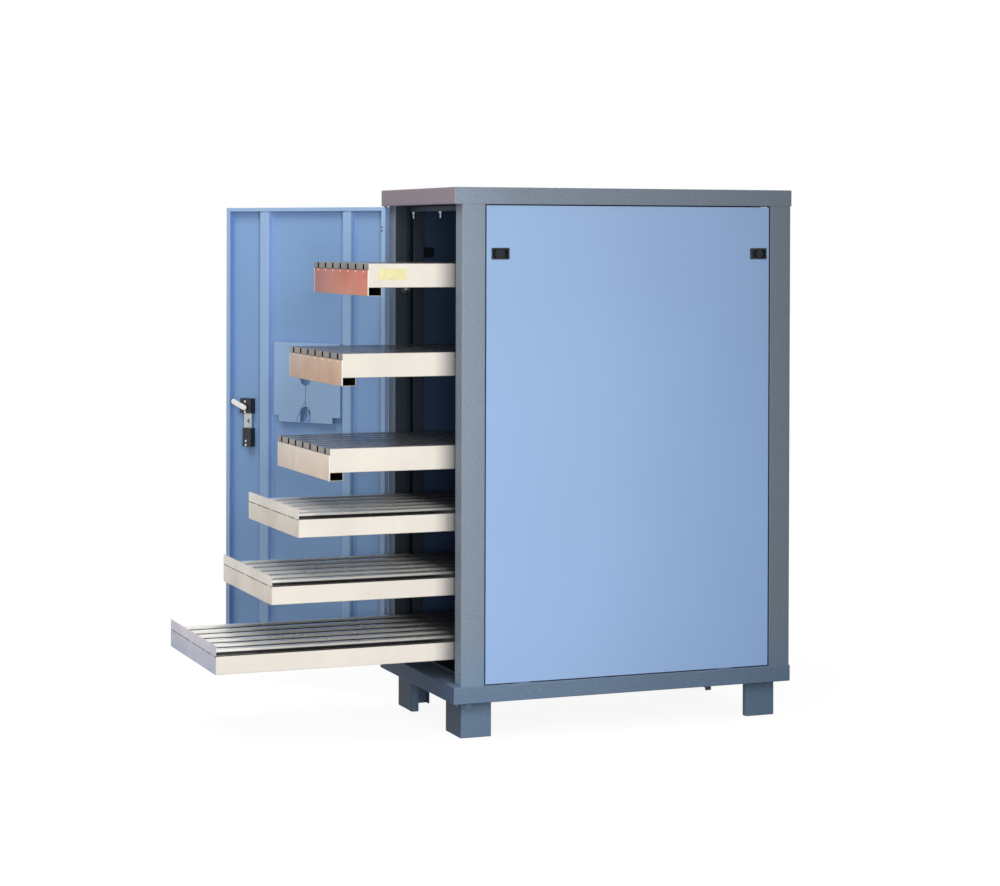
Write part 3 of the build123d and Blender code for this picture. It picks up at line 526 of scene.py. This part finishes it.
def broken_line(tree, axes, z, tall):
    """1 on a level line that stops and starts along X, 0 elsewhere."""
    off = add(tree, "ShaderNodeMath", {0: axes["Z"], 1: z}, operation="SUBTRACT")
    far = add(tree, "ShaderNodeMath", {0: off.outputs[0]}, operation="ABSOLUTE")
    line = add(tree, "ShaderNodeMath", {0: far.outputs[0], 1: tall / 2}, operation="LESS_THAN")
    # one bump of this wave is some 40 mm long
    wave = add(tree, "ShaderNodeTexNoise", {"W": axes["X"], "Scale": 26.0, "Detail": 1.0},
               noise_dimensions="1D")
    here = add(tree, "ShaderNodeMath", {0: wave.outputs["Fac"], 1: 0.44},
               operation="GREATER_THAN")
    mask = add(tree, "ShaderNodeMath", {0: line.outputs[0], 1: here.outputs[0]},
               operation="MULTIPLY")
    return mask.outputs[0]


def zinc_plate(name):
    """Zinc plated fasteners and rails: pale grey metal with a soft spangle."""
    material, tree, shader, place = start_material(name)
    spangle = add(tree, "ShaderNodeTexVoronoi",
                  {"Vector": place, "Scale": 160.0}).outputs["Distance"]
    tint = add(tree, "ShaderNodeValToRGB", {"Fac": spangle},
               stops=[(0.0, rgba(linear("#C9CCCF"))), (1.0, rgba(linear("#A9AEB3")))])
    gloss = add(tree, "ShaderNodeMapRange", {"Value": spangle, "To Min": 0.28, "To Max": 0.42})
    edge = add(tree, "ShaderNodeBevel", {"Radius": 0.0006}, samples=4)
    plug(tree, shader, {
        "Base Color": tint.outputs["Color"],
        "Roughness": gloss.outputs["Result"],
        "Normal": edge.outputs["Normal"],
        "Metallic": 1.0,
    })
    return material


def moulded_nylon(name, colour, grain_mm, rough):
    """Injection moulded nylon or ABS: dark, with a fine spark-eroded grain."""
    material, tree, shader, place = start_material(name)
    grain = add(tree, "ShaderNodeTexNoise",
                {"Vector": place, "Scale": 1000.0 / grain_mm, "Detail": 2.0}).outputs["Fac"]
    tint = add(tree, "ShaderNodeValToRGB", {"Fac": grain},
               stops=[(0.3, rgba(colour, 0.85)), (0.7, rgba(colour, 1.25))])
    bumped = add(tree, "ShaderNodeBump",
                 {"Height": grain, "Strength": 0.15, "Distance": 0.0002})
    plug(tree, shader, {
        "Base Color": tint.outputs["Color"],
        "Normal": bumped.outputs["Normal"],
        "Roughness": rough,
        "IOR": 1.53,
    })
    return material


def plain_paper(name, colour):
    """Uncoated label paper under a thin clear film, left blank."""
    material, tree, shader, place = start_material(name)
    fibre = add(tree, "ShaderNodeTexNoise", {"Vector": place, "Scale": 120.0, "Detail": 4.0})
    tint = add(tree, "ShaderNodeValToRGB", {"Fac": fibre.outputs["Fac"]},
               stops=[(0.35, rgba(colour, 0.94)), (0.65, rgba(colour, 1.04))])
    plug(tree, shader, {
        "Base Color": tint.outputs["Color"],
        "Roughness": 0.5,
        "Coat Weight": 0.3,
    })
    return material


def front_face(node, tint):
    """Painted light or shade on a node's foremost plane, as its tint is paler or darker: none 1.5
    mm behind it, full from 0.5 mm on.
    """
    front = -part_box(node)[0].y
    return ((0, -1, 0), front - 0.0015, front - 0.0005, tint)


MATERIALS = {}


class CABINET_OT_finishes(bpy.types.Operator):
    """Make every finish and put it on the frame's nodes"""
    bl_idname = "cabinet.finishes"
    bl_label = "Finishes"

    def execute(self, context):
        finish = context.scene.cabinet_finish
        self.grey_coats(finish)
        self.blue_coats(finish)
        self.bare_metals(finish)
        self.plastics(finish)
        MATERIALS["label"] = plain_paper("blank label paper", finish.label_paper)
        self.put_on()
        self.upper_trays(finish)
        self.lower_trays(finish, context.scene.fitting_sizes.seam)
        return {"FINISHED"}

    def grey_coats(self, finish):
        """Coats of the frame, the base ring and the feet, with painted light and shade; in front
        the cap is painted lit, and the base and feet are painted in shade.
        """
        coats = (
            ("frame", "textured grey powder coat", 0.35,
             [FRONT_PALER, front_face("top_cap", CAP_FRONT_LIGHT)]),
            ("base", "grey powder coat of the base", 0.15,
             [front_face("base_frame", BASE_FRONT_SHADE)]),
            ("feet", "grey powder coat of the feet", 0.15,
             [front_face("feet", FOOT_FRONT_SHADE)]),
        )
        for key, name, sheen, shades in coats:
            MATERIALS[key] = powder_coat(
                name, finish.frame_grey, grain_mm=3.5, rough=0.50, bump=0.30, speck=0.22,
                shades=[LOW_BLUER, REAR_DARKER] + shades, inside=GREY_INSIDE_SHADE, sheen=sheen)

    def blue_coats(self, finish):
        """Coats of the panels, with painted light low down and painted shade to the rear and
        inside, and of the door, with painted highlights on its raised parts.
        """
        fine = {"grain_mm": 2.2, "rough": 0.42, "bump": 0.12, "speck": 0.04}
        MATERIALS["panel"] = powder_coat(
            "light blue powder coat", finish.panel_blue, shades=[PANEL_REAR, PANEL_LOW],
            inside=BLUE_INSIDE_SHADE, **fine)
        # painted highlight: the parts of the door that stand out from its skin are drawn paler
        leaf = LEAF_INWARD.dot(DOOR_PINS)
        raised = (LEAF_INWARD, leaf - 0.008, leaf + 0.0105, DOOR_RAISED_HIGHLIGHT)
        MATERIALS["door"] = powder_coat(
            "blue powder coat", finish.door_blue, shades=[raised], **fine)

    def bare_metals(self, finish):
        MATERIALS["steel"] = bright_steel("bright cold rolled steel", finish.tray_steel, 0.34)
        # near-white sheet: the bright steel of the cam and the screws, and painted glints on
        # rolled edges, rivets, roller axles and bearing rings
        MATERIALS["polished"] = bright_steel(
            "polished sheet edge", linear("#FFFDF8"), 0.35, inside=False)
        MATERIALS["zinc"] = zinc_plate("zinc plated steel")

    def plastics(self, finish):
        kinds = (
            ("black", "black moulded nylon", finish.plastic_black, 1.0, 0.42),
            ("screw", "blackened screw", linear("#0C0D10"), 1.0, 0.35),
            ("roller", "grey roller nylon", linear("#2B2D31"), 1.2, 0.4),
        )
        for key, name, colour, grain_mm, rough in kinds:
            MATERIALS[key] = moulded_nylon(name, colour, grain_mm, rough)

    def put_on(self):
        """Finish of each node, by its slot, and of the four with one of their own."""
        by_slot = {"frame_coat": "frame", "panel_coat": "panel", "door_coat": "door",
                   "bright_steel": "steel", "zinc_plate": "zinc", "black_plastic": "black",
                   "roller_plastic": "roller"}
        for part in frame["record"]["subparts"]:
            dress(part["node"], MATERIALS[by_slot[part["material_slot"]]])
        dress("base_frame", MATERIALS["base"])
        dress("feet", MATERIALS["feet"])
        dress("door_hinge_halves", MATERIALS["screw"])
        # near-white axles, which paint the glint on the front wheels
        dress("front_roller_axles", MATERIALS["polished"])

    def upper_trays(self, finish):
        """Grey slotted strip over a front plate with its own painted reflection colours, and a
        grip with painted shade in its hollow.
        """
        for number, (low, high) in UPPER_REFLECTIONS.items():
            a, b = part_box("tray_%d_front" % number)
            # painted reflection on the front plate, in colours from its lower to its upper edge
            MATERIALS["front_%d" % number] = bright_steel(
                "tinted front sheet %d" % number, finish.tray_steel, 0.40, lines=(27, 900, 900),
                front=(a.y, a.z, b.z, linear(low), linear(high)), inside=False)
            MATERIALS["grip_%d" % number] = bright_steel(
                "folded grip %d" % number, finish.tray_steel, 0.34,
                hollow=(a.y + 0.003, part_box("tray_%d_frame" % number)[0].z, GRIP_HALF - 0.0008))
            c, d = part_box("tray_%d_deck" % number)
            deck = bright_steel(
                "slotted deck %d" % number, finish.tray_steel, 0.26,
                heights=(c.z, d.z, SLOT_STOPS),
                front=(c.y, c.z, d.z, *[linear(code) for code in STRIP_TINT]))
            dress("tray_%d_deck" % number, deck)

    def lower_trays(self, finish, seam):
        """Front wall and lip in the same painted reflection colours, with the broken joint
        between them, and painted shade and highlights on the ridges.
        """
        for number, (low, high) in LOWER_REFLECTIONS.items():
            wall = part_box("tray_%d_frame" % number)[0]
            a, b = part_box("tray_%d_deck" % number)
            # painted reflection on the front wall and lip
            front = (a.y, wall.z, b.z, linear(low), linear(high), (a.z - 0.0004, seam))
            sheet = bright_steel("tray sheet %d" % number, finish.tray_steel, 0.34, front=front)
            dress("tray_%d_frame" % number, sheet)
            deck = bright_steel("ridged deck %d" % number, finish.tray_steel, 0.24, front=front,
                                heights=(a.z + 0.001, a.z + 0.0112, RIDGE_STOPS))
            dress("tray_%d_deck" % number, deck)


class CABINET_OT_tray_fronts(bpy.types.Operator):
    """Model the folded front plates of the upper trays with their grips"""
    bl_idname = "cabinet.tray_fronts"
    bl_label = "Tray fronts"

    def execute(self, context):
        bead = context.scene.fitting_sizes.bead
        for number in UPPER_TRAYS:
            node = "tray_%d_front" % number
            low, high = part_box(node)
            body = "tray_%d" % number
            plate = self.plate(number, low, high)
            fit(plate, MATERIALS["front_%d" % number], body)
            grip = self.grip(number, low, high)
            fit(grip, MATERIALS["grip_%d" % number], body)
            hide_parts(node)
            edges = self.edges(number, low, high, bead)
            fit(edges, MATERIALS["polished"], body)
        return {"FINISHED"}

    def plate(self, number, low, high):
        """Flat sheet with softly rounded edges."""
        inset = 0.0012
        thick = 0.0015
        plate = cuboid("tray_%d_front_plate" % number,
                       (low.x + inset, low.y, low.z),
                       (high.x - inset, low.y + thick, high.z))
        return soften(plate, 0.0006, 2)

    def grip(self, number, low, high):
        """Channel behind the plate's lower edge, drawn out of one strip."""
        above = 0.0457
        behind = 0.003
        deep = 0.0380
        rise = high.z - above - low.z
        only(None)
        bpy.ops.mesh.primitive_plane_add(
            size=1, location=(0, low.y + behind, low.z + rise / 2),
            rotation=(math.pi / 2, 0, 0))
        piece = bpy.context.object
        piece.name = "tray_%d_grip" % number
        piece.scale = (2 * GRIP_HALF, rise, 1)
        settle(piece)
        self.pull(piece, lambda v: v.co.z < low.z + 0.001, (0, deep, 0))
        self.pull(piece, lambda v: v.co.y > low.y + 0.8 * deep, (0, 0, rise))
        bpy.ops.mesh.select_all(action="SELECT")
        bpy.ops.mesh.normals_make_consistent(inside=False)
        object_mode()
        wall = piece.modifiers.new("Sheet", "SOLIDIFY")
        wall.thickness = 0.0015
        wall.offset = 0.0
        bpy.ops.object.modifier_apply(modifier=wall.name)
        return soften(piece, 0.0006, 2)

    def pull(self, piece, test, way):
        """Extrudes the edge whose points pass the test."""
        only(piece)
        bpy.ops.object.mode_set(mode="EDIT")
        bpy.ops.mesh.select_mode(type="EDGE")
        bpy.ops.mesh.select_all(action="DESELECT")
        object_mode()
        points = {v.index for v in piece.data.vertices if test(v)}
        for edge in piece.data.edges:
            edge.select = all(i in points for i in edge.vertices)
        bpy.ops.object.mode_set(mode="EDIT")
        bpy.ops.mesh.extrude_edges_move(TRANSFORM_OT_translate={"value": way})

    def edges(self, number, low, high, bead):
        """Bright rolled edges up both sides of the plate."""
        # near-white rolled edges, which also paint the bright lines at the plate's sides
        roll = disc("roll", bead, high.z - low.z, (0, 0, 0), "Z", 20)
        soften(roll, 0.0005, 2, 60)
        y = low.y + bead * 0.75
        z = (low.z + high.z) / 2
        rolls = copies(roll, [at(side * (high.x - bead), y, z) for side in (-1, 1)])
        return gather("tray_%d_rolled_edges" % number, rolls)


class CABINET_OT_slot_rivets(bpy.types.Operator):
    """Model the bright rivets under the slots of the upper trays"""
    bl_idname = "cabinet.slot_rivets"
    bl_label = "Slot rivets"

    def execute(self, context):
        radius = context.scene.fitting_sizes.rivet
        thick = 0.0014
        below = 0.0045
        # near-white rivets, which also paint the bright spots at the slots' ends
        rivet = disc("rivet", radius, thick, (0, 0, 0), "Y", 20)
        sink(rivet, lambda c, v: v.y < -0.9, radius * 0.35, -0.0005)
        soften(rivet, 0.0003, 2)
        places = []
        for number in UPPER_TRAYS[:2]:
            low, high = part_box("tray_%d_front" % number)
            places += [at(n * SLOT_PITCH, low.y - 0.0002, high.z - below)
                       for n in range(-3, 4)]
        rivets = copies(rivet, places)
        for number, row in ((1, rivets[:7]), (2, rivets[7:])):
            piece = gather("tray_%d_slot_rivets" % number, row)
            fit(piece, MATERIALS["polished"], "tray_%d" % number)
        return {"FINISHED"}


class CABINET_OT_label(bpy.types.Operator):
    """Stick a blank label on the right side of the top tray"""
    bl_idname = "cabinet.label"
    bl_label = "Blank label"

    def execute(self, context):
        sizes = context.scene.fitting_sizes
        thick = 0.0003
        behind = 0.0299
        above = 0.0210
        y0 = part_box("tray_1_front")[0].y + behind
        z0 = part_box("tray_1_frame")[0].z + above
        piece = cuboid("tray_1_blank_label", (TRAY_HALF - 0.0001, y0, z0),
                       (TRAY_HALF + thick, y0 + sizes.label_length, z0 + sizes.label_height))
        choose_faces(piece, lambda c, v: v.x > 0.9)
        bpy.ops.mesh.inset(thickness=0.0015, depth=0.0001)
        object_mode()
        soften(piece, 0.0001, 1)
        fit(piece, MATERIALS["label"], "tray_1")
        return {"FINISHED"}


class CABINET_OT_latches(bpy.types.Operator):
    """Model the four sliding latches with their ridged round knobs"""
    bl_idname = "cabinet.latches"
    bl_label = "Latches"

    def execute(self, context):
        edge = context.scene.fitting_sizes.edge_round
        knob_in = 0.010
        thick = 0.0025
        half_wide = 0.008
        places = []
        for side, end in SLIDERS:
            low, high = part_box("%s_%s_latch_slider" % (side, end))
            y = high.y - knob_in if end == "front" else low.y + knob_in
            x, turn = (high.x, 0) if side == "right" else (low.x, 180)
            places.append(at(x, y, (low.z + high.z) / 2, turn))
        knobs = copies(self.knob(edge), places)
        for (side, end), knob in zip(SLIDERS, knobs):
            node = "%s_%s_latch_slider" % (side, end)
            low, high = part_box(node)
            root = low.x if side == "right" else high.x - thick
            z = (low.z + high.z) / 2
            tongue = cuboid("tongue", (root, low.y, z - half_wide),
                            (root + thick, high.y, z + half_wide))
            soften(tongue, 0.0004, 2)
            piece = gather("%s_ridged" % node, [knob, tongue])
            fit(piece, MATERIALS["black"], "%s_%s_latch" % (side, end))
            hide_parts(node)
        return {"FINISHED"}

    def knob(self, edge):
        """Round knob with a dished face and five grip ribs, its face at X 0."""
        deep = 0.0090
        knob = disc("knob", 0.0098, deep, (-deep / 2, 0, 0), "X", 48)
        sink(knob, lambda c, v: v.x > 0.9, 0.0018, 0.0022)
        soften(knob, edge * 0.6, 3)
        rib = cuboid("rib", (-0.003, -0.0006, -0.0055), (-0.0006, 0.0006, 0.0055))
        soften(rib, 0.0004, 2)
        ribs = copies(rib, [at(0, n * 0.0028, 0) for n in range(-2, 3)])
        return gather("knob", [knob] + ribs)


class CABINET_OT_lock(bpy.types.Operator):
    """Model the lock boxes, the lock plate's screws and the cam on the door"""
    bl_idname = "cabinet.lock"
    bl_label = "Lock"

    def execute(self, context):
        edge = context.scene.fitting_sizes.edge_round
        upper = self.box((0.4870, 0.5283), (0.807, 0.851), edge)
        lower = self.box((0.4870, 0.5184), (0.708, 0.763), edge)
        boxes = gather("lock_boxes", [upper, lower])
        hang_on_door(boxes)
        fit(boxes, MATERIALS["black"], "door")
        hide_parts("lock_case")
        cam = self.cam()
        fit(cam, MATERIALS["polished"], "lock")
        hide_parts("lock_cam")
        screws = hang_on_door(self.screws())
        fit(screws, MATERIALS["polished"], "door")
        return {"FINISHED"}

    def box(self, along, up, edge):
        """Moulded box with a raised rim round a sunk face.

        along: its two ends, from the door's pins. up: its lower and upper side."""
        outer = -0.0085
        inner = 0.012
        rim = 0.003
        piece = cuboid("lock_box", (along[0], outer, up[0]), (along[1], inner, up[1]))
        sink(piece, lambda c, v: v.y > 0.9, rim, 0.0008)
        return soften(piece, edge, 3)

    def cam(self):
        """Flat cam with round ends, bolt and washer, tip a little up."""
        pivot = (0.508, 0, 0.824)
        tip_up = 22
        y = 0.01625
        thick = 0.0035
        long = 0.045
        round_end = 0.008
        bar = cuboid("bar", (0, y - thick / 2, -round_end), (long, y + thick / 2, round_end))
        ends = [disc("end", round_end, thick, (x, y, 0), "Y", 40) for x in (0.0, long)]
        piece = gather("lock_cam_bar", [bar] + ends)
        weld = piece.modifiers.new("One shell", "REMESH")
        weld.mode = "VOXEL"
        weld.voxel_size = 0.0005
        bpy.ops.object.modifier_apply(modifier=weld.name)
        bpy.ops.object.shade_smooth_by_angle(angle=math.radians(40))
        washer = soften(disc("washer", 0.0062, 0.0012, (0, y + 0.0022, 0), "Y"), 0.0003, 2)
        bolt = disc("bolt", 0.0045, 0.0021, (0, y + 0.0027, 0), "Y", 6)
        sink(bolt, lambda c, v: v.y > 0.9, 0.0012, 0.0003)
        soften(bolt, 0.0003, 2)
        piece = gather("lock_cam_assembly", [piece, washer, bolt])
        only(piece)
        piece.matrix_world = at(*pivot, -tip_up, "Y") @ piece.matrix_world
        settle(piece)
        return hang_on_door(piece)

    def screws(self):
        """Domed screws with a sunk drive, placed along the leaf and by height."""
        head = disc("head", 0.0034, 0.0008, (0, 0, 0), "Y", 24)
        sink(head, lambda c, v: v.y > 0.9, 0.0016, 0.0004)
        soften(head, 0.0002, 2)
        y = 0.0122
        spots = ((0.5094, 0.842), (0.5093, 0.811), (0.506, 0.7245), (0.506, 0.713))
        return gather("lock_screw_heads", copies(head, [at(u, y, z) for u, z in spots]))


class CABINET_OT_rollers(bpy.types.Operator):
    """Model the tray rollers with rounded edges and a raised hub"""
    bl_idname = "cabinet.rollers"
    bl_label = "Rollers"
    radius = 0.014
    wide = 0.008

    def execute(self, context):
        for end, sunk in (("front", 0.0028), ("rear", 0.0004)):
            nodes = ["tray_%d_%s_rollers" % (number, end) for number in ALL_TRAYS]
            places = [place for node in nodes for place in self.pair(node)]
            wheels = copies(self.wheel(sunk), places)
            for n, node in enumerate(nodes):
                piece = gather("%s_wheels" % node, wheels[2 * n:2 * n + 2])
                fit(piece, MATERIALS["roller"], node)
                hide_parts(node)
            if end == "front":
                self.bearings(nodes, places)
        return {"FINISHED"}

    def pair(self, node):
        """Places of the left and the right wheel of a node."""
        low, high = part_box(node)
        y = (low.y + high.y) / 2
        z = (low.z + high.z) / 2
        half = self.wide / 2
        return [at(low.x + half, y, z, 180), at(high.x - half, y, z)]

    def wheel(self, sunk):
        """Right hand wheel, its inner face on the side of -X."""
        wheel = disc("wheel", self.radius, self.wide, (0, 0, 0), "X", 48)
        for face in (-1, 1):
            deep = sunk if face < 0 else 0.0004
            for rim, depth in ((0.0022, 0.0008), (0.0036, -0.0006), (0.0016, deep)):
                sink(wheel, lambda c, v: v.x * face > 0.9 and math.hypot(c.y, c.z) < 0.001,
                     rim, depth)
        return soften(wheel, 0.0005, 2)

    def bearings(self, nodes, places):
        """Bright bearing rings on both faces of the front wheels."""
        # near-white rings, which paint the glint on the front wheels' rims
        only(None)
        bpy.ops.mesh.primitive_torus_add(
            major_radius=0.0104, minor_radius=0.0005, major_segments=40, minor_segments=8,
            rotation=(0, math.pi / 2, 0))
        ring = settle(bpy.context.object)
        bpy.ops.object.shade_smooth()
        both = copies(ring, [at(side * 0.0034, 0, 0) for side in (-1, 1)])
        rings = copies(gather("ring", both), places)
        for n, node in enumerate(nodes):
            piece = gather("%s_bearing_rings" % node, rings[2 * n:2 * n + 2])
            fit(piece, MATERIALS["polished"], node)


class CABINET_OT_spot_welds(bpy.types.Operator):
    """Model the small weld marks on the trays' sides"""
    bl_idname = "cabinet.spot_welds"
    bl_label = "Spot welds"

    def execute(self, context):
        spots = ((0.012, 0.010), (0.012, 0.036), (0.44, 0.024), (0.868, 0.024))
        x = TRAY_HALF + 0.0001
        mark = disc("mark", 0.0022, 0.0005, (0, 0, 0), "X", 20)
        sink(mark, lambda c, v: v.x > 0.9, 0.0008, 0.0001)
        soften(mark, 0.0002, 1)
        places = []
        for number in ALL_TRAYS:
            z0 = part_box("tray_%d_frame" % number)[0].z
            y0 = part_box("tray_%d_deck" % number)[0].y
            for dy, dz in spots:
                places += [at(x, y0 + dy, z0 + dz), at(-x, y0 + dy, z0 + dz, 180)]
        marks = copies(mark, places)
        for number in ALL_TRAYS:
            first = (number - 1) * 2 * len(spots)
            piece = gather("tray_%d_weld_marks" % number, marks[first:first + 2 * len(spots)])
            fit(piece, MATERIALS["steel"], "tray_%d" % number)
        return {"FINISHED"}


class CABINET_OT_holder_trim(bpy.types.Operator):
    """Model the small rivet and the bent clip of the document holder"""
    bl_idname = "cabinet.holder_trim"
    bl_label = "Holder trim"

    def execute(self, context):
        spot = (0.1612, 0.0085, 1.0157)
        rivet = disc("holder_rivet", 0.0030, 0.0012, spot, "Y", 24)
        sink(rivet, lambda c, v: v.y > 0.9, 0.0009, -0.0003)
        hang_on_door(soften(rivet, 0.0003, 2))
        fit(rivet, MATERIALS["screw"], "door")
        clip = hang_on_door(self.clip())
        fit(clip, MATERIALS["polished"], "door")
        return {"FINISHED"}

    def clip(self):
        """Light wire clip that hangs in the arch, its points along the leaf and by height."""
        y = -0.0030
        points = ((0.2790, 0.826), (0.2815, 0.832), (0.2857, 0.829), (0.2850, 0.820),
                  (0.2797, 0.812), (0.2780, 0.802), (0.2835, 0.797))
        only(None)
        bpy.ops.curve.primitive_bezier_curve_add()
        wire = bpy.context.object
        wire.name = "holder_clip"
        wire.data.splines.clear()
        line = wire.data.splines.new("NURBS")
        line.points.add(len(points) - 1)
        for point, (u, z) in zip(line.points, points):
            point.co = (u, y, z, 1)
        line.use_endpoint_u = True
        line.order_u = 4
        wire.data.bevel_depth = 0.0009
        only(wire)
        bpy.ops.object.convert(target="MESH")
        bpy.ops.object.shade_smooth()
        return settle(bpy.context.object)


class CABINET_OT_stage(bpy.types.Operator):
    """Lay the floor, hang the lights and set the camera"""
    bl_idname = "cabinet.stage"
    bl_label = "Stage"

    def execute(self, context):
        stage = context.scene.stage_settings
        self.floor(stage)
        self.world(context, stage)
        self.lights(stage)
        self.camera(context)
        context.scene.view_settings.view_transform = "Standard"
        return {"FINISHED"}

    def seen(self, tree):
        """1 for rays from the camera and for mirrored ones, 0 for the rest."""
        rays = add(tree, "ShaderNodeLightPath").outputs
        seen = add(tree, "ShaderNodeMath", {0: rays["Is Camera Ray"], 1: rays["Is Glossy Ray"]},
                   operation="MAXIMUM")
        return seen.outputs[0]

    def floor(self, stage):
        """Pale floor that looks as white as the room round it."""
        only(None)
        bpy.ops.mesh.primitive_plane_add(size=60, location=(0, 0, -0.0005))
        floor = bpy.context.object
        floor.name = "studio_floor"
        material, tree, shader, _ = start_material("pale studio floor")
        # dim by itself, so that it throws little light up, with a glow for eye and mirror
        plug(tree, shader, {"Base Color": rgba(stage.floor_white, 0.14), "Roughness": 0.9})
        glow = add(tree, "ShaderNodeEmission",
                   {"Color": rgba(stage.floor_white), "Strength": 0.95})
        both = add(tree, "ShaderNodeAddShader", {0: shader.outputs[0], 1: glow.outputs[0]})
        mix = add(tree, "ShaderNodeMixShader",
                  {0: self.seen(tree), 1: shader.outputs[0], 2: both.outputs[0]})
        out = next(n for n in tree.nodes if n.type == "OUTPUT_MATERIAL")
        plug(tree, out, {"Surface": mix.outputs[0]})
        coat(floor, material)

    def world(self, context, stage):
        """White room to look at and to mirror, which lights the rest only dimly."""
        world = bpy.data.worlds.new("studio room")
        context.scene.world = world
        world.use_nodes = True
        tree = world.node_tree
        tree.nodes.clear()
        dim = add(tree, "ShaderNodeBackground", {"Color": (1, 1, 1, 1), "Strength": stage.room})
        white = add(tree, "ShaderNodeBackground", {"Color": (1, 1, 1, 1), "Strength": 1.0})
        mix = add(tree, "ShaderNodeMixShader",
                  {0: self.seen(tree), 1: dim.outputs[0], 2: white.outputs[0]})
        add(tree, "ShaderNodeOutputWorld", {"Surface": mix.outputs[0]})

    def lamp(self, name, watts, wide, tall, place, target):
        """Softbox that no mirroring surface shows."""
        only(None)
        bpy.ops.object.light_add(type="AREA", location=place)
        lamp = bpy.context.object
        lamp.name = name
        lamp.data.shape = "RECTANGLE"
        lamp.data.size = wide
        lamp.data.size_y = tall
        lamp.data.energy = watts
        lamp.visible_glossy = False
        way = Vector(target) - Vector(place)
        lamp.rotation_euler = way.to_track_quat("-Z", "Y").to_euler()

    def lights(self, stage):
        self.lamp("panel side softbox", stage.key_watts, wide=1.2, tall=2.4,
                  place=(2.6, -1.0, 1.15), target=(0, 0, 0.7))
        self.lamp("high front softbox", stage.front_watts, wide=2.0, tall=2.0,
                  place=(0.4, -2.6, 4.2), target=(0, -0.7, 0.9))

    def camera(self, context):
        """Camera far to the right and a little in front, just under the cap's height."""
        ahead = Vector((-math.sin(CAMERA_TURN) * math.cos(CAMERA_TILT),
                        math.cos(CAMERA_TURN) * math.cos(CAMERA_TILT), math.sin(CAMERA_TILT)))
        right = Vector((math.cos(CAMERA_TURN), math.sin(CAMERA_TURN), 0))
        over = right.cross(ahead)
        x = right * math.cos(CAMERA_ROLL) + over * math.sin(CAMERA_ROLL)
        y = over * math.cos(CAMERA_ROLL) - right * math.sin(CAMERA_ROLL)
        bpy.ops.object.camera_add(location=CAMERA_PLACE)
        camera = bpy.context.object
        axes = Matrix((x, y, -ahead)).transposed().to_4x4()
        camera.matrix_world = Matrix.Translation(CAMERA_PLACE) @ axes
        camera.data.sensor_width = CAMERA_SENSOR
        camera.data.lens = CAMERA_LENS
        camera.data.shift_x, camera.data.shift_y = CAMERA_SHIFT
        camera.data.clip_end = 100
        context.scene.camera = camera


STEPS = (
    CABINET_OT_finishes,
    CABINET_OT_tray_fronts,
    CABINET_OT_slot_rivets,
    CABINET_OT_label,
    CABINET_OT_latches,
    CABINET_OT_lock,
    CABINET_OT_rollers,
    CABINET_OT_spot_welds,
    CABINET_OT_holder_trim,
    CABINET_OT_stage,
)


class CABINET_PT_steps(bpy.types.Panel):
    """Shows the cabinet's settings and a button for each of its steps"""
    bl_idname = "CABINET_PT_steps"
    bl_label = "Cabinet"
    bl_space_type = "VIEW_3D"
    bl_region_type = "UI"
    bl_category = "Cabinet"

    def draw(self, context):
        layout = self.layout
        for group in (context.scene.cabinet_finish, context.scene.fitting_sizes,
                      context.scene.stage_settings):
            for name in group.__annotations__:
                layout.prop(group, name)
        for step in STEPS:
            layout.operator(step.bl_idname)


GROUPS = {
    "cabinet_finish": CabinetFinish,
    "fitting_sizes": FittingSizes,
    "stage_settings": StageSettings,
}


def register():
    for name, group in GROUPS.items():
        bpy.utils.register_class(group)
        setattr(bpy.types.Scene, name, bpy.props.PointerProperty(type=group))
    for step in STEPS:
        bpy.utils.register_class(step)
    bpy.utils.register_class(CABINET_PT_steps)


def unregister():
    bpy.utils.unregister_class(CABINET_PT_steps)
    for step in reversed(STEPS):
        bpy.utils.unregister_class(step)
    for name, group in GROUPS.items():
        delattr(bpy.types.Scene, name)
        bpy.utils.unregister_class(group)


def main():
    register()
    for step in STEPS:
        getattr(bpy.ops.cabinet, step.bl_idname.split(".")[1])()
    only(None)


if __name__ == "__main__":
    main()
